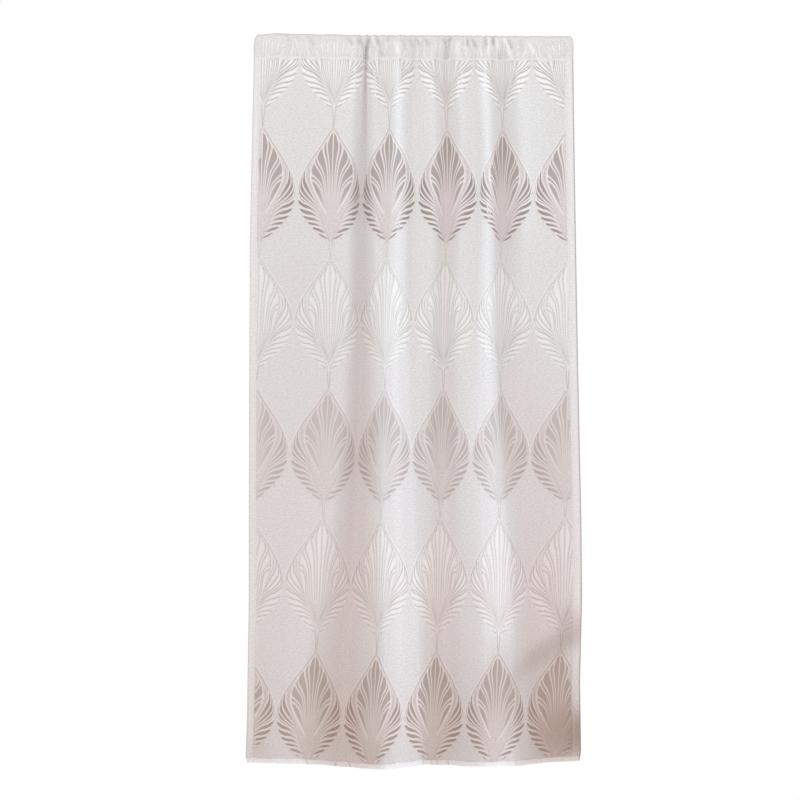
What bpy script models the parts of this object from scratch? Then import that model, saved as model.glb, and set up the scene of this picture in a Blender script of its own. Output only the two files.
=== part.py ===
"""Lace door curtain: a rod-pocket heading and the panel that hangs in folds below it.

Metres, +Z up, +X along the rod, and the front of the cloth faces -Y. The origin is the middle of
the curtain's top edge, where the rod carries it.

Both pieces are laid out from one flat cloth. "Across" is a distance over the flat cloth from its
left edge, and "drop" is a distance down from its top edge. At each drop the folds and puckers are
a line of crests and valleys, and that line is drawn in until the cloth is as wide as it hangs, so
that the cloth keeps its own width along its folds.
"""

from typing import NamedTuple

import bmesh
import bpy
import numpy as np

MM = 0.001

# The cloth
FLAT_WIDTH = 0.915
DROP = 1.800
CLOTH = 1.2 * MM
SIDE_HEM = 18 * MM
BOTTOM_HEM = 13 * MM
HEM_STEP = 1.5 * MM

# The rod pocket, from the top edge down
POCKET_ARCH = 12 * MM
POCKET_FLOOR = 53 * MM
HEADING_DROP = 57.7 * MM
SEAM_GAP = 0.3 * MM
POCKET_HALF_DEPTH = 14 * MM
POCKET_FLOOR_HALF = 0.3 * MM
NOTCH_SHARE = 0.4

# How finely the cloth is laid out
GRID_STEP = 1 * MM
GATHERED_FROM = 0.215
GATHERED_TO = 0.800
GATHERED_STEP = 6 * MM
PLAIN_STEP = 15 * MM
PANEL_ROWS = (0.075, 0.100, 0.140, 0.200, 0.290, 0.410, 0.560, 0.730, 0.910, 1.100, 1.290, 1.470, 1.630, 1.740)
WALL_DROPS = (46 * MM, 30 * MM)
ARCH_ANGLES = (0, 30, 60, 90, 120, 150, 180)

# Where the hung cloth's side edges are, as (drop, metres from the middle)
LEFT_EDGE = (
    (0.000, -0.381),
    (0.011, -0.3885),
    (0.026, -0.3935),
    (0.060, -0.394),
    (0.210, -0.396),
    (0.500, -0.401),
    (0.900, -0.403),
    (1.400, -0.406),
    (1.700, -0.411),
    (1.785, -0.4135),
    (1.800, -0.409),
)
RIGHT_EDGE = (
    (0.000, 0.386),
    (0.011, 0.391),
    (0.026, 0.3935),
    (0.060, 0.394),
    (0.360, 0.398),
    (0.800, 0.4055),
    (1.200, 0.4140),
    (1.400, 0.4155),
    (1.600, 0.4105),
    (1.780, 0.4130),
    (1.800, 0.4085),
)

# The share of the flat cloth that ripples too fine to model here take up, as (drop, share)
FINE_RIPPLES = ((0.000, 0.060), (0.058, 0.050), (0.150, 0.030), (0.300, 0.008), (0.450, 0.000))

# How high the top edge runs and how low the bottom edge hangs, as (across, height)
TOP_EDGE = ((0.000, 1.5 * MM), (0.060, 3.7 * MM), (0.250, 1.0 * MM), (0.550, -1.0 * MM), (0.915, -3.7 * MM))
BOTTOM_EDGE = (
    (0.000, -1.791),
    (0.150, -1.791),
    (0.240, -1.800),
    (0.330, -1.804),
    (0.430, -1.799),
    (0.510, -1.795),
    (0.627, -1.800),
    (0.755, -1.796),
    (0.915, -1.786),
)


class Fold(NamedTuple):
    """A crest or valley that runs down the cloth, with a place and a height for each fold level."""

    name: str
    across_mm: tuple
    forward_mm: tuple


FOLD_LEVELS = (0.058, 0.240, 1.000, 1.750)
FOLD_ROUNDING = (5 * MM, 8 * MM, 12 * MM, 17 * MM)
FOLDS = (
    Fold("left edge", (0, 0, 0, 0), (0, 0, 0, 0)),
    Fold("left plain part", (140, 140, 110, 30), (2, 4, 5, 5)),
    Fold("lip left of the deep valley", (246, 251, 242, 130), (5, 9, 10, 17)),
    Fold("deep valley", (292, 299, 277, 250), (-20, -48, -58, -52)),
    Fold("lip right of the deep valley", (332, 337, 314, 345), (5, 2, 2, -5)),
    Fold("small crest", (358, 362, 352, 385), (4, 12, 18, 32)),
    Fold("tuck", (404, 406, 384, 400), (-13, -38, 40, 44)),
    Fold("middle crest", (434, 438, 412, 416), (8, 20, 66, 56)),
    Fold("shallow valley", (469, 470, 446, 457), (-4, 10, 16, 27)),
    Fold("shallow crest", (503, 503, 486, 497), (6, 17, 22, -5)),
    Fold("middle valley", (550, 549, 540, 540), (-14, -33, -22, -37)),
    Fold("low crest", (604, 606, 596, 598), (6, 12, 38, -7)),
    Fold("dip", (631, 634, 631, 640), (-6, -2, 35, 20)),
    Fold("right crest", (672, 668, 660, 694), (9, 40, 52, 47)),
    Fold("right valley", (727, 731, 722, 812), (-13, -30, -30, -44)),
    Fold("far crest", (779, 788, 800, 860), (4, 10, -14, -12)),
    Fold("right edge", (915, 915, 915, 915), (0, 0, 0, 0)),
)


class Pucker(NamedTuple):
    """A small gather of the heading, from the rod down past the stitched line to where it fades."""

    at_rod_mm: float
    at_seam_mm: float
    half_width_mm: float
    deep_at_rod_mm: float
    deep_at_seam_mm: float
    fades_by: float


PUCKERS = (
    Pucker(93, 98, 24, 2.5, 1.2, 0.10),
    Pucker(152, 146, 24, 3.0, 1.8, 0.12),
    Pucker(222, 230, 20, 5.0, 3.6, 0.16),
    Pucker(265, 284, 14, 8.2, 6.4, 0.20),
    Pucker(294, 299, 11, 4.0, 5.6, 0.20),
    Pucker(319, 314, 13, 8.4, 6.0, 0.20),
    Pucker(346, 350, 13, 7.4, 6.4, 0.28),
    Pucker(376, 378, 13, 7.4, 6.6, 0.24),
    Pucker(413, 406, 15, 8.0, 7.4, 0.32),
    Pucker(444, 446, 12, 7.2, 6.2, 0.26),
    Pucker(472, 470, 12, 7.2, 6.6, 0.24),
    Pucker(496, 499, 11, 6.4, 5.4, 0.26),
    Pucker(517, 525, 11, 5.6, 5.2, 0.22),
    Pucker(540, 548, 11, 7.8, 6.4, 0.22),
    Pucker(566, 566, 11, 7.4, 5.6, 0.22),
    Pucker(594, 590, 13, 7.0, 6.2, 0.26),
    Pucker(617, 617, 10, 6.0, 5.0, 0.24),
    Pucker(637, 637, 10, 6.6, 6.0, 0.26),
    Pucker(669, 664, 13, 7.6, 6.0, 0.24),
    Pucker(695, 705, 12, 7.2, 6.4, 0.24),
    Pucker(722, 733, 12, 6.0, 6.6, 0.26),
    Pucker(744, 760, 12, 6.6, 6.2, 0.28),
    Pucker(799, 818, 20, 4.4, 4.4, 0.20),
    Pucker(856, 855, 20, 2.4, 2.0, 0.13),
)


def between(table, places):
    """Reads a table of (place, value) rows at the given places."""
    columns = np.array(table)
    return np.interp(places, columns[:, 0], columns[:, 1])


def eased(levels, values, drop):
    """A smooth curve through one value for each level, level at both ends."""
    drop = min(max(drop, levels[0]), levels[-1])
    slopes = np.gradient(np.array(values, float), np.array(levels))
    slopes[0] = 0
    slopes[-1] = 0
    low = min(np.searchsorted(levels, drop, side="right") - 1, len(levels) - 2)
    span = levels[low + 1] - levels[low]
    t = (drop - levels[low]) / span
    start = values[low] * (1 + 2 * t) * (1 - t) ** 2 + slopes[low] * span * t * (1 - t) ** 2
    end = values[low + 1] * t**2 * (3 - 2 * t) - slopes[low + 1] * span * t**2 * (1 - t)
    return start + end


def ramp(low, high, value):
    """Rises smoothly from 0 at low to 1 at high."""
    t = min(max((value - low) / (high - low), 0), 1)
    return t * t * (3 - 2 * t)


def soften(line, reach):
    """Rounds the corners of a line over the flat cloth, as cloth bends over a crest."""
    half = round(3 * reach / GRID_STEP)
    offsets = np.arange(-half, half + 1) * GRID_STEP
    weights = np.exp(-0.5 * (offsets / reach) ** 2)
    return np.convolve(np.pad(line, half, mode="edge"), weights / weights.sum(), mode="valid")


def fold_line(grid, drop):
    """How far forward the main folds bring the cloth at this drop. They begin below the rod."""
    places = [eased(FOLD_LEVELS, fold.across_mm, drop) * MM for fold in FOLDS]
    heights = [eased(FOLD_LEVELS, fold.forward_mm, drop) * MM for fold in FOLDS]
    line = soften(np.interp(grid, places, heights), eased(FOLD_LEVELS, FOLD_ROUNDING, drop))
    return line * ramp(POCKET_ARCH, HEADING_DROP, drop)


def pucker_line(grid, drop):
    """How far the puckers draw the cloth back at this drop, as numbers below zero."""
    down = ramp(0, HEADING_DROP, drop)
    line = np.zeros(len(grid))
    for pucker in PUCKERS:
        place = (pucker.at_rod_mm * (1 - down) + pucker.at_seam_mm * down) * MM
        depth = (pucker.deep_at_rod_mm * (1 - down) + pucker.deep_at_seam_mm * down) * MM
        depth *= 1 - ramp(HEADING_DROP, pucker.fades_by, drop)
        t = np.clip((grid - place) / (pucker.half_width_mm * MM), -1, 1)
        line -= depth * (1 - t * t) ** 2
    return line


class Course(NamedTuple):
    """The cloth at one drop: how it lies over the flat cloth's grid, and the puckers' share of that."""

    along: np.ndarray
    forward: np.ndarray
    steep: np.ndarray
    puckered: np.ndarray


def travelled(grid, rate):
    """How far a path has gone at each place on the grid, from its rate there."""
    return np.concatenate([[0], np.cumsum((rate[1:] + rate[:-1]) / 2 * np.diff(grid))])


def levelled(line):
    """The line tipped so that it ends at the height where it began."""
    return line - line[-1] * np.linspace(0, 1, len(line))


def lay_course(grid, drop):
    """Draws the folds and puckers in until the cloth is as wide as it hangs at this drop."""
    pucker_slope = np.gradient(pucker_line(grid, drop), grid)
    slope = np.gradient(fold_line(grid, drop), grid) + pucker_slope
    left = between(LEFT_EDGE, drop)
    hung_width = between(RIGHT_EDGE, drop) - left
    taken_up = 1 - between(FINE_RIPPLES, drop)
    low = 0.0
    high = 8.0
    for _ in range(40):
        draw = (low + high) / 2
        if travelled(grid, taken_up / np.hypot(1, draw * slope))[-1] > hung_width:
            low = draw
        else:
            high = draw
    steep = np.hypot(1, draw * slope)
    along = left + travelled(grid, taken_up / steep)
    forward = levelled(travelled(grid, taken_up * draw * slope / steep))
    puckered = levelled(travelled(grid, taken_up * draw * pucker_slope / steep))
    return Course(along, forward, steep, puckered)


def stations():
    """Places across the flat cloth, close together where it is gathered and with one at each hem."""
    left = np.linspace(SIDE_HEM + HEM_STEP, GATHERED_FROM, round(GATHERED_FROM / PLAIN_STEP))
    middle = np.arange(GATHERED_FROM + GATHERED_STEP, GATHERED_TO, GATHERED_STEP)
    right_end = FLAT_WIDTH - SIDE_HEM - HEM_STEP
    right = np.linspace(GATHERED_TO + GATHERED_STEP, right_end, round((right_end - GATHERED_TO) / PLAIN_STEP))
    return np.concatenate([[0, SIDE_HEM], left, middle, right, [FLAT_WIDTH - SIDE_HEM, FLAT_WIDTH]])


def row_of_points(grid, across, along, back, height):
    """Turns one row of the cloth into points. back is counted from the plane of the rod."""
    return np.stack([np.interp(across, grid, along), back, height], axis=1)


def height_at(across, drop):
    """The height of the cloth at a drop: its top and bottom edges aren't quite straight."""
    top = between(TOP_EDGE, across)
    bottom = between(BOTTOM_EDGE, across)
    return top + (bottom - top) * drop / DROP


def panel_faces(grid, across):
    """The front and back faces of the panel, as rows of points from the seam to the bottom edge."""
    hem_top = DROP - BOTTOM_HEM
    drops = (HEADING_DROP + SEAM_GAP, *PANEL_ROWS, hem_top - HEM_STEP, hem_top, DROP)
    at_side = (across <= SIDE_HEM) | (across >= FLAT_WIDTH - SIDE_HEM)
    front = []
    back = []
    for drop in drops:
        course = lay_course(grid, drop)
        middle = -np.interp(across, grid, course.forward)
        half = CLOTH / 2 * np.interp(across, grid, course.steep)
        hem = np.where(at_side | (drop >= hem_top), CLOTH, 0)
        height = height_at(across, drop)
        front.append(row_of_points(grid, across, course.along, middle - half, height))
        back.append(row_of_points(grid, across, course.along, middle + half + hem, height))
    return np.array(front), np.array(back)


def wall_pair(grid, across, drop):
    """Front and back layers of the pocket at one drop, as (inner, outer) distances behind the rod's plane."""
    course = lay_course(grid, drop)
    middle = -np.interp(across, grid, course.forward)
    puckers = -np.interp(across, grid, course.puckered)
    wall = CLOTH * np.interp(across, grid, course.steep)
    share = (POCKET_FLOOR - max(drop, POCKET_ARCH)) / (POCKET_FLOOR - POCKET_ARCH)
    half = POCKET_FLOOR_HALF + (POCKET_HALF_DEPTH - POCKET_FLOOR_HALF) * max(share, 0)
    mirrored = 2 * (1 - ramp(POCKET_ARCH, WALL_DROPS[0], drop))
    front = middle - half
    back = middle + half - mirrored * puckers
    return course, (front, front - wall), (back, back + wall)


def heading_rings(grid, across):
    """Rings of points around the pocket, outer and inner, each a list of rows that run along X."""
    rows = {"outer": [], "inner": []}
    feet = {"outer": HEADING_DROP, "inner": POCKET_FLOOR}
    arch_course, arch_front, arch_back = wall_pair(grid, across, POCKET_ARCH)
    notch = NOTCH_SHARE * -np.interp(across, grid, arch_course.puckered)
    for side, (name, foot) in enumerate(feet.items()):
        outer = name == "outer"
        rising = []
        falling = []
        for drop in (foot, *WALL_DROPS):
            course, front, back = wall_pair(grid, across, drop)
            height = height_at(across, drop)
            rising.append(row_of_points(grid, across, course.along, front[outer], height))
            falling.append(row_of_points(grid, across, course.along, back[outer], height))
        arch = []
        middle = (arch_front[outer] + arch_back[outer]) / 2
        half = (arch_back[outer] - arch_front[outer]) / 2
        rise = POCKET_ARCH - notch - (0 if outer else CLOTH)
        for angle in np.radians(ARCH_ANGLES):
            course = lay_course(grid, POCKET_ARCH * (1 - np.sin(angle)))
            height = height_at(across, POCKET_ARCH) + rise * np.sin(angle)
            back = middle - half * np.cos(angle)
            arch.append(row_of_points(grid, across, course.along, back, height))
        rows[name] = [*rising, *arch, *falling[::-1]]
    return np.array(rows["outer"]), np.array(rows["inner"])


def add_grid(bm, points, closed=False):
    """Adds a sheet of faces through rows of points, closed around if its last row meets its first."""
    rows = [[bm.verts.new(point) for point in row] for row in points]
    pairs = list(zip(rows, rows[1:] + rows[:1] if closed else rows[1:]))
    for upper, lower in pairs:
        for i in range(len(upper) - 1):
            bm.faces.new((upper[i], upper[i + 1], lower[i + 1], lower[i]))
    return rows


def bridge(bm, first, second, closed=True):
    """Joins two matching lines of vertices with a strip of faces."""
    count = len(first)
    for i in range(count if closed else count - 1):
        following = (i + 1) % count
        bm.faces.new((first[i], first[following], second[following], second[i]))


def rim(rows):
    """The vertices around a sheet's edge, in order."""
    top = rows[0]
    right = [row[-1] for row in rows[1:-1]]
    bottom = rows[-1][::-1]
    left = [row[0] for row in rows[-2:0:-1]]
    return [*top, *right, *bottom, *left]


def cloth_material(name, colour, roughness):
    """A plain cloth material with the colour given as sRGB from 0 to 255."""
    share = np.array(colour) / 255
    linear = np.where(share <= 0.04045, share / 12.92, ((share + 0.055) / 1.055) ** 2.4)
    material = bpy.data.materials.new(name)
    material.use_nodes = True
    shader = material.node_tree.nodes["Principled BSDF"]
    shader.inputs["Base Color"].default_value = (*linear, 1)
    shader.inputs["Roughness"].default_value = roughness
    shader.inputs["Metallic"].default_value = 0
    return material


def finish(bm, name, material):
    """Turns the mesh outwards, splits it into triangles and adds it to the scene as one object."""
    bmesh.ops.recalc_face_normals(bm, faces=bm.faces)
    bmesh.ops.triangulate(bm, faces=bm.faces)
    mesh = bpy.data.meshes.new(name)
    bm.to_mesh(mesh)
    bm.free()
    mesh.materials.append(material)
    mesh.shade_smooth()
    piece = bpy.data.objects.new(name, mesh)
    bpy.context.scene.collection.objects.link(piece)
    return piece


def make_panel(grid, across):
    """The cloth below the stitched line, with its turned side hems and bottom hem."""
    front, back = panel_faces(grid, across)
    bm = bmesh.new()
    front_rows = add_grid(bm, front)
    back_rows = add_grid(bm, back)
    bridge(bm, rim(front_rows), rim(back_rows))
    return finish(bm, "lace_panel", cloth_material("lace_panel_cloth", (226, 219, 217), 0.85))


def make_heading(grid, across):
    """The rod pocket: one loop of cloth over the rod, stitched flat below it and open at both ends."""
    outer, inner = heading_rings(grid, across)
    bm = bmesh.new()
    outer_rows = add_grid(bm, outer, closed=True)
    inner_rows = add_grid(bm, inner, closed=True)
    for end in (0, -1):
        bridge(bm, [row[end] for row in outer_rows], [row[end] for row in inner_rows])
    return finish(bm, "rod_pocket_heading", cloth_material("heading_cloth", (222, 215, 212), 0.85))


def main():
    """Clears the scene and models the two pieces."""
    for item in list(bpy.data.objects):
        bpy.data.objects.remove(item, do_unlink=True)
    grid = np.arange(0, FLAT_WIDTH + GRID_STEP / 2, GRID_STEP)
    across = stations()
    make_heading(grid, across)
    make_panel(grid, across)


main()
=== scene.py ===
"""Looks of a lace door curtain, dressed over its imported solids.

The curtain is one cloth. Every piece of it is laid out on the flat cloth first, as "across" from
its left edge and "drop" from its top edge, and is then carried to the place where that spot hangs.
Metres, +Z up, +X along the rod, and the front of the cloth faces -Y.
"""

import logging
import math
from dataclasses import dataclass
from enum import Enum
from itertools import product
from typing import NamedTuple

import bpy
import numpy as np
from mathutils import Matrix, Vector

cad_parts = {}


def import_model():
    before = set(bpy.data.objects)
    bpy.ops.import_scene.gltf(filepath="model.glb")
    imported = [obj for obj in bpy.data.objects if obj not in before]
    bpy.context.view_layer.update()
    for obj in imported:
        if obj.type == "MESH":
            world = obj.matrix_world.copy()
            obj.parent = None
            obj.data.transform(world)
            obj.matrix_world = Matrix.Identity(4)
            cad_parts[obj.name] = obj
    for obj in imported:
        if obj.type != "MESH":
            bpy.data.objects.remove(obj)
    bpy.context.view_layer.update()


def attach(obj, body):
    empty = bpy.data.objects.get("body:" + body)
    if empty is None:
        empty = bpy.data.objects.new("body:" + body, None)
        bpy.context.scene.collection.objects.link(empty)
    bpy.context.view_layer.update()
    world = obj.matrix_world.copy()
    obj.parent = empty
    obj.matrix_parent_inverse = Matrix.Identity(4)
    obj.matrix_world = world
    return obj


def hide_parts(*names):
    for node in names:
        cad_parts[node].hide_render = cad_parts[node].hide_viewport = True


MM = 0.001
Array = np.ndarray
Table = tuple[tuple[float, float], ...]
log = logging.getLogger("lace_door_curtain")


# Small helpers


def linear(code: str) -> Array:
    """Turns an sRGB hex colour into the linear colour that shaders take.

    Args:
        code: Six hex digits, as in "dfdad9".

    Returns:
        Red, green and blue from 0 to 1.
    """
    shares = np.array([int(code[i : i + 2], 16) / 255 for i in (0, 2, 4)])
    return np.where(shares <= 0.04045, shares / 12.92, ((shares + 0.055) / 1.055) ** 2.4)


def between(table: Table, places: Array | float) -> Array:
    """Reads a table of (place, value) rows at the given places.

    Args:
        table: Rows of a place and its value, in rising order.
        places: Where to read it.

    Returns:
        The values there.
    """
    columns = np.array(table)
    return np.interp(places, columns[:, 0], columns[:, 1])


def ramp(low: float, high: float, value: Array | float) -> Array:
    """Rises smoothly from 0 at low to 1 at high.

    Args:
        low: Where the rise starts.
        high: Where it ends.
        value: Where to read it.

    Returns:
        The rise there.
    """
    t = np.clip((value - low) / (high - low), 0, 1)
    return t * t * (3 - 2 * t)


def lengths_along(line: Array) -> Array:
    """How far along a line each of its points is."""
    return np.concatenate([[0], np.cumsum(np.linalg.norm(np.diff(line, axis=0), axis=1))])


def read_line(places: Array, known: Array, line: Array) -> Array:
    """Reads a line of points between its own points.

    Args:
        places: Where to read it.
        known: The place of each of its own points.
        line: The points.

    Returns:
        A point for each place.
    """
    return np.stack([np.interp(places, known, column) for column in line.T], axis=-1)


def even_steps(line: Array, count: int) -> Array:
    """Lays points along a line at even steps of its length.

    Args:
        line: Points along the line.
        count: How many points to return.

    Returns:
        The new points, the first and last of which are the line's own.
    """
    far = lengths_along(line)
    return read_line(np.linspace(0, far[-1], count), far, line)


def smooth_line(points: Table, count: int) -> Array:
    """Draws a smooth line through a few points.

    Args:
        points: The points that it passes through.
        count: How many points to return.

    Returns:
        Points at even steps along the line.
    """
    p = np.array(points, float)
    p = np.vstack([2 * p[0] - p[1], p, 2 * p[-1] - p[-2]])
    steps = 24
    t = np.linspace(0, 1, steps, endpoint=False)[:, None]
    pieces = []
    for a, b, c, d in zip(p, p[1:], p[2:], p[3:]):
        squared = (2 * a - 5 * b + 4 * c - d) * t**2
        cubed = (3 * b - a - 3 * c + d) * t**3
        pieces.append(0.5 * (2 * b + (c - a) * t + squared + cubed))
    return even_steps(np.vstack([*pieces, p[-2][None]]), count)


def add_node(
    tree: bpy.types.NodeTree,
    kind: str,
    inputs: dict[str | int, object] | None = None,
    **settings: object,
) -> bpy.types.Node:
    """Adds a node, with its settings, its plain input values and its links.

    Args:
        tree: The node tree that takes it.
        kind: The node's Blender type, as in "ShaderNodeMath".
        inputs: A value or another node's output socket for each input, by name or by number.
        **settings: The node's own settings by name.

    Returns:
        The node.
    """
    node = tree.nodes.new(kind)
    for name, value in settings.items():
        setattr(node, name, value)
    for key, value in (inputs or {}).items():
        if isinstance(value, bpy.types.NodeSocket):
            tree.links.new(value, node.inputs[key])
        else:
            node.inputs[key].default_value = value
    return node


class SheetMesh:
    """Gathers points and faces, with their places on the flat cloth and colours, for one mesh."""

    FLAT_MAP = "flat_cloth"
    COLOUR = "yarn_colour"
    # edges sharper than this many degrees stay sharp
    SMOOTH_ANGLE = 60.0

    def __init__(self) -> None:
        """Starts with no points."""
        self.points: list[Array] = []
        self.flat: list[Array] = []
        self.colours: list[Array] = []
        self.faces: list[Array] = []
        self.count = 0

    def add_rows(
        self, points: Array, flat: Array, colours: Array, around: bool, capped: bool = False
    ) -> Array:
        """Adds a sheet of four-sided faces through rows of points.

        Args:
            points: Rows of points, as an array of rows, columns and three.
            flat: Where each point is on the flat cloth, in the same rows and columns.
            colours: The linear colour of each point, in the same rows and columns.
            around: True if each row closes on itself.
            capped: True to close the first and the last row with a face.

        Returns:
            The points' numbers, in the same rows and columns.
        """
        rows, columns = points.shape[:2]
        ids = self.count + np.arange(rows * columns).reshape(rows, columns)
        self.points.append(points.reshape(-1, 3))
        self.flat.append(flat.reshape(-1, 2))
        self.colours.append(colours.reshape(-1, 3))
        self.count += rows * columns
        ring = np.concatenate([ids, ids[:, :1]], axis=1) if around else ids
        quads = np.stack([ring[:-1, :-1], ring[:-1, 1:], ring[1:, 1:], ring[1:, :-1]], axis=-1)
        self.faces.extend(quads.reshape(-1, 4))
        if capped:
            self.faces.extend([ids[0, ::-1], ids[-1]])
        return ids

    def join(self, first: Array, second: Array) -> None:
        """Joins two matching closed lines of point numbers with a strip of faces.

        Args:
            first: The point numbers along one side.
            second: The point numbers along the other.
        """
        quads = np.stack([first, np.roll(first, -1), np.roll(second, -1), second], axis=-1)
        self.faces.extend(quads)

    def make(self, name: str, material: bpy.types.Material) -> bpy.types.Object:
        """Makes the object.

        Args:
            name: The name of the piece.
            material: Its finish.

        Returns:
            The new object, at the origin.
        """
        mesh = bpy.data.meshes.new(name)
        points = np.concatenate(self.points)
        mesh.from_pydata(points.tolist(), [], [face.tolist() for face in self.faces])
        corners = np.empty(len(mesh.loops), dtype=np.int32)
        mesh.loops.foreach_get("vertex_index", corners)
        flat_map = mesh.uv_layers.new(name=self.FLAT_MAP)
        flat_map.uv.foreach_set("vector", np.concatenate(self.flat)[corners].ravel())
        colours = np.concatenate(self.colours)
        opaque = np.concatenate([colours, np.ones((len(colours), 1))], axis=1)
        attribute = mesh.color_attributes.new(self.COLOUR, "FLOAT_COLOR", "POINT")
        attribute.data.foreach_set("color", opaque.ravel())
        mesh.materials.append(material)
        mesh.validate()
        piece = bpy.data.objects.new(name, mesh)
        bpy.context.scene.collection.objects.link(piece)
        mesh.set_sharp_from_angle(angle=math.radians(self.SMOOTH_ANGLE))
        return piece


# How the cloth hangs


class Fold(NamedTuple):
    """A crest or valley that runs down the cloth, with a place and a height for each fold level."""

    name: str
    across_mm: tuple[float, ...]
    forward_mm: tuple[float, ...]


class Pucker(NamedTuple):
    """A small gather of the heading, from the rod down past the stitched line to where it fades."""

    at_rod_mm: float
    at_seam_mm: float
    half_width_mm: float
    deep_at_rod_mm: float
    deep_at_seam_mm: float
    fades_by: float


@dataclass(frozen=True)
class Course:
    """The cloth at one drop, at some places across the flat cloth.

    along is where each spot hangs along X, forward is how far it stands out of the rod's plane,
    and puckered is the puckers' part of forward.
    """

    across: Array
    along: Array
    forward: Array
    puckered: Array

    def at(self, across: Array) -> "Course":
        """The same course, read at other places across the flat cloth."""
        lines = (self.along, self.forward, self.puckered)
        return Course(across, *(np.interp(across, self.across, line) for line in lines))


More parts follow.
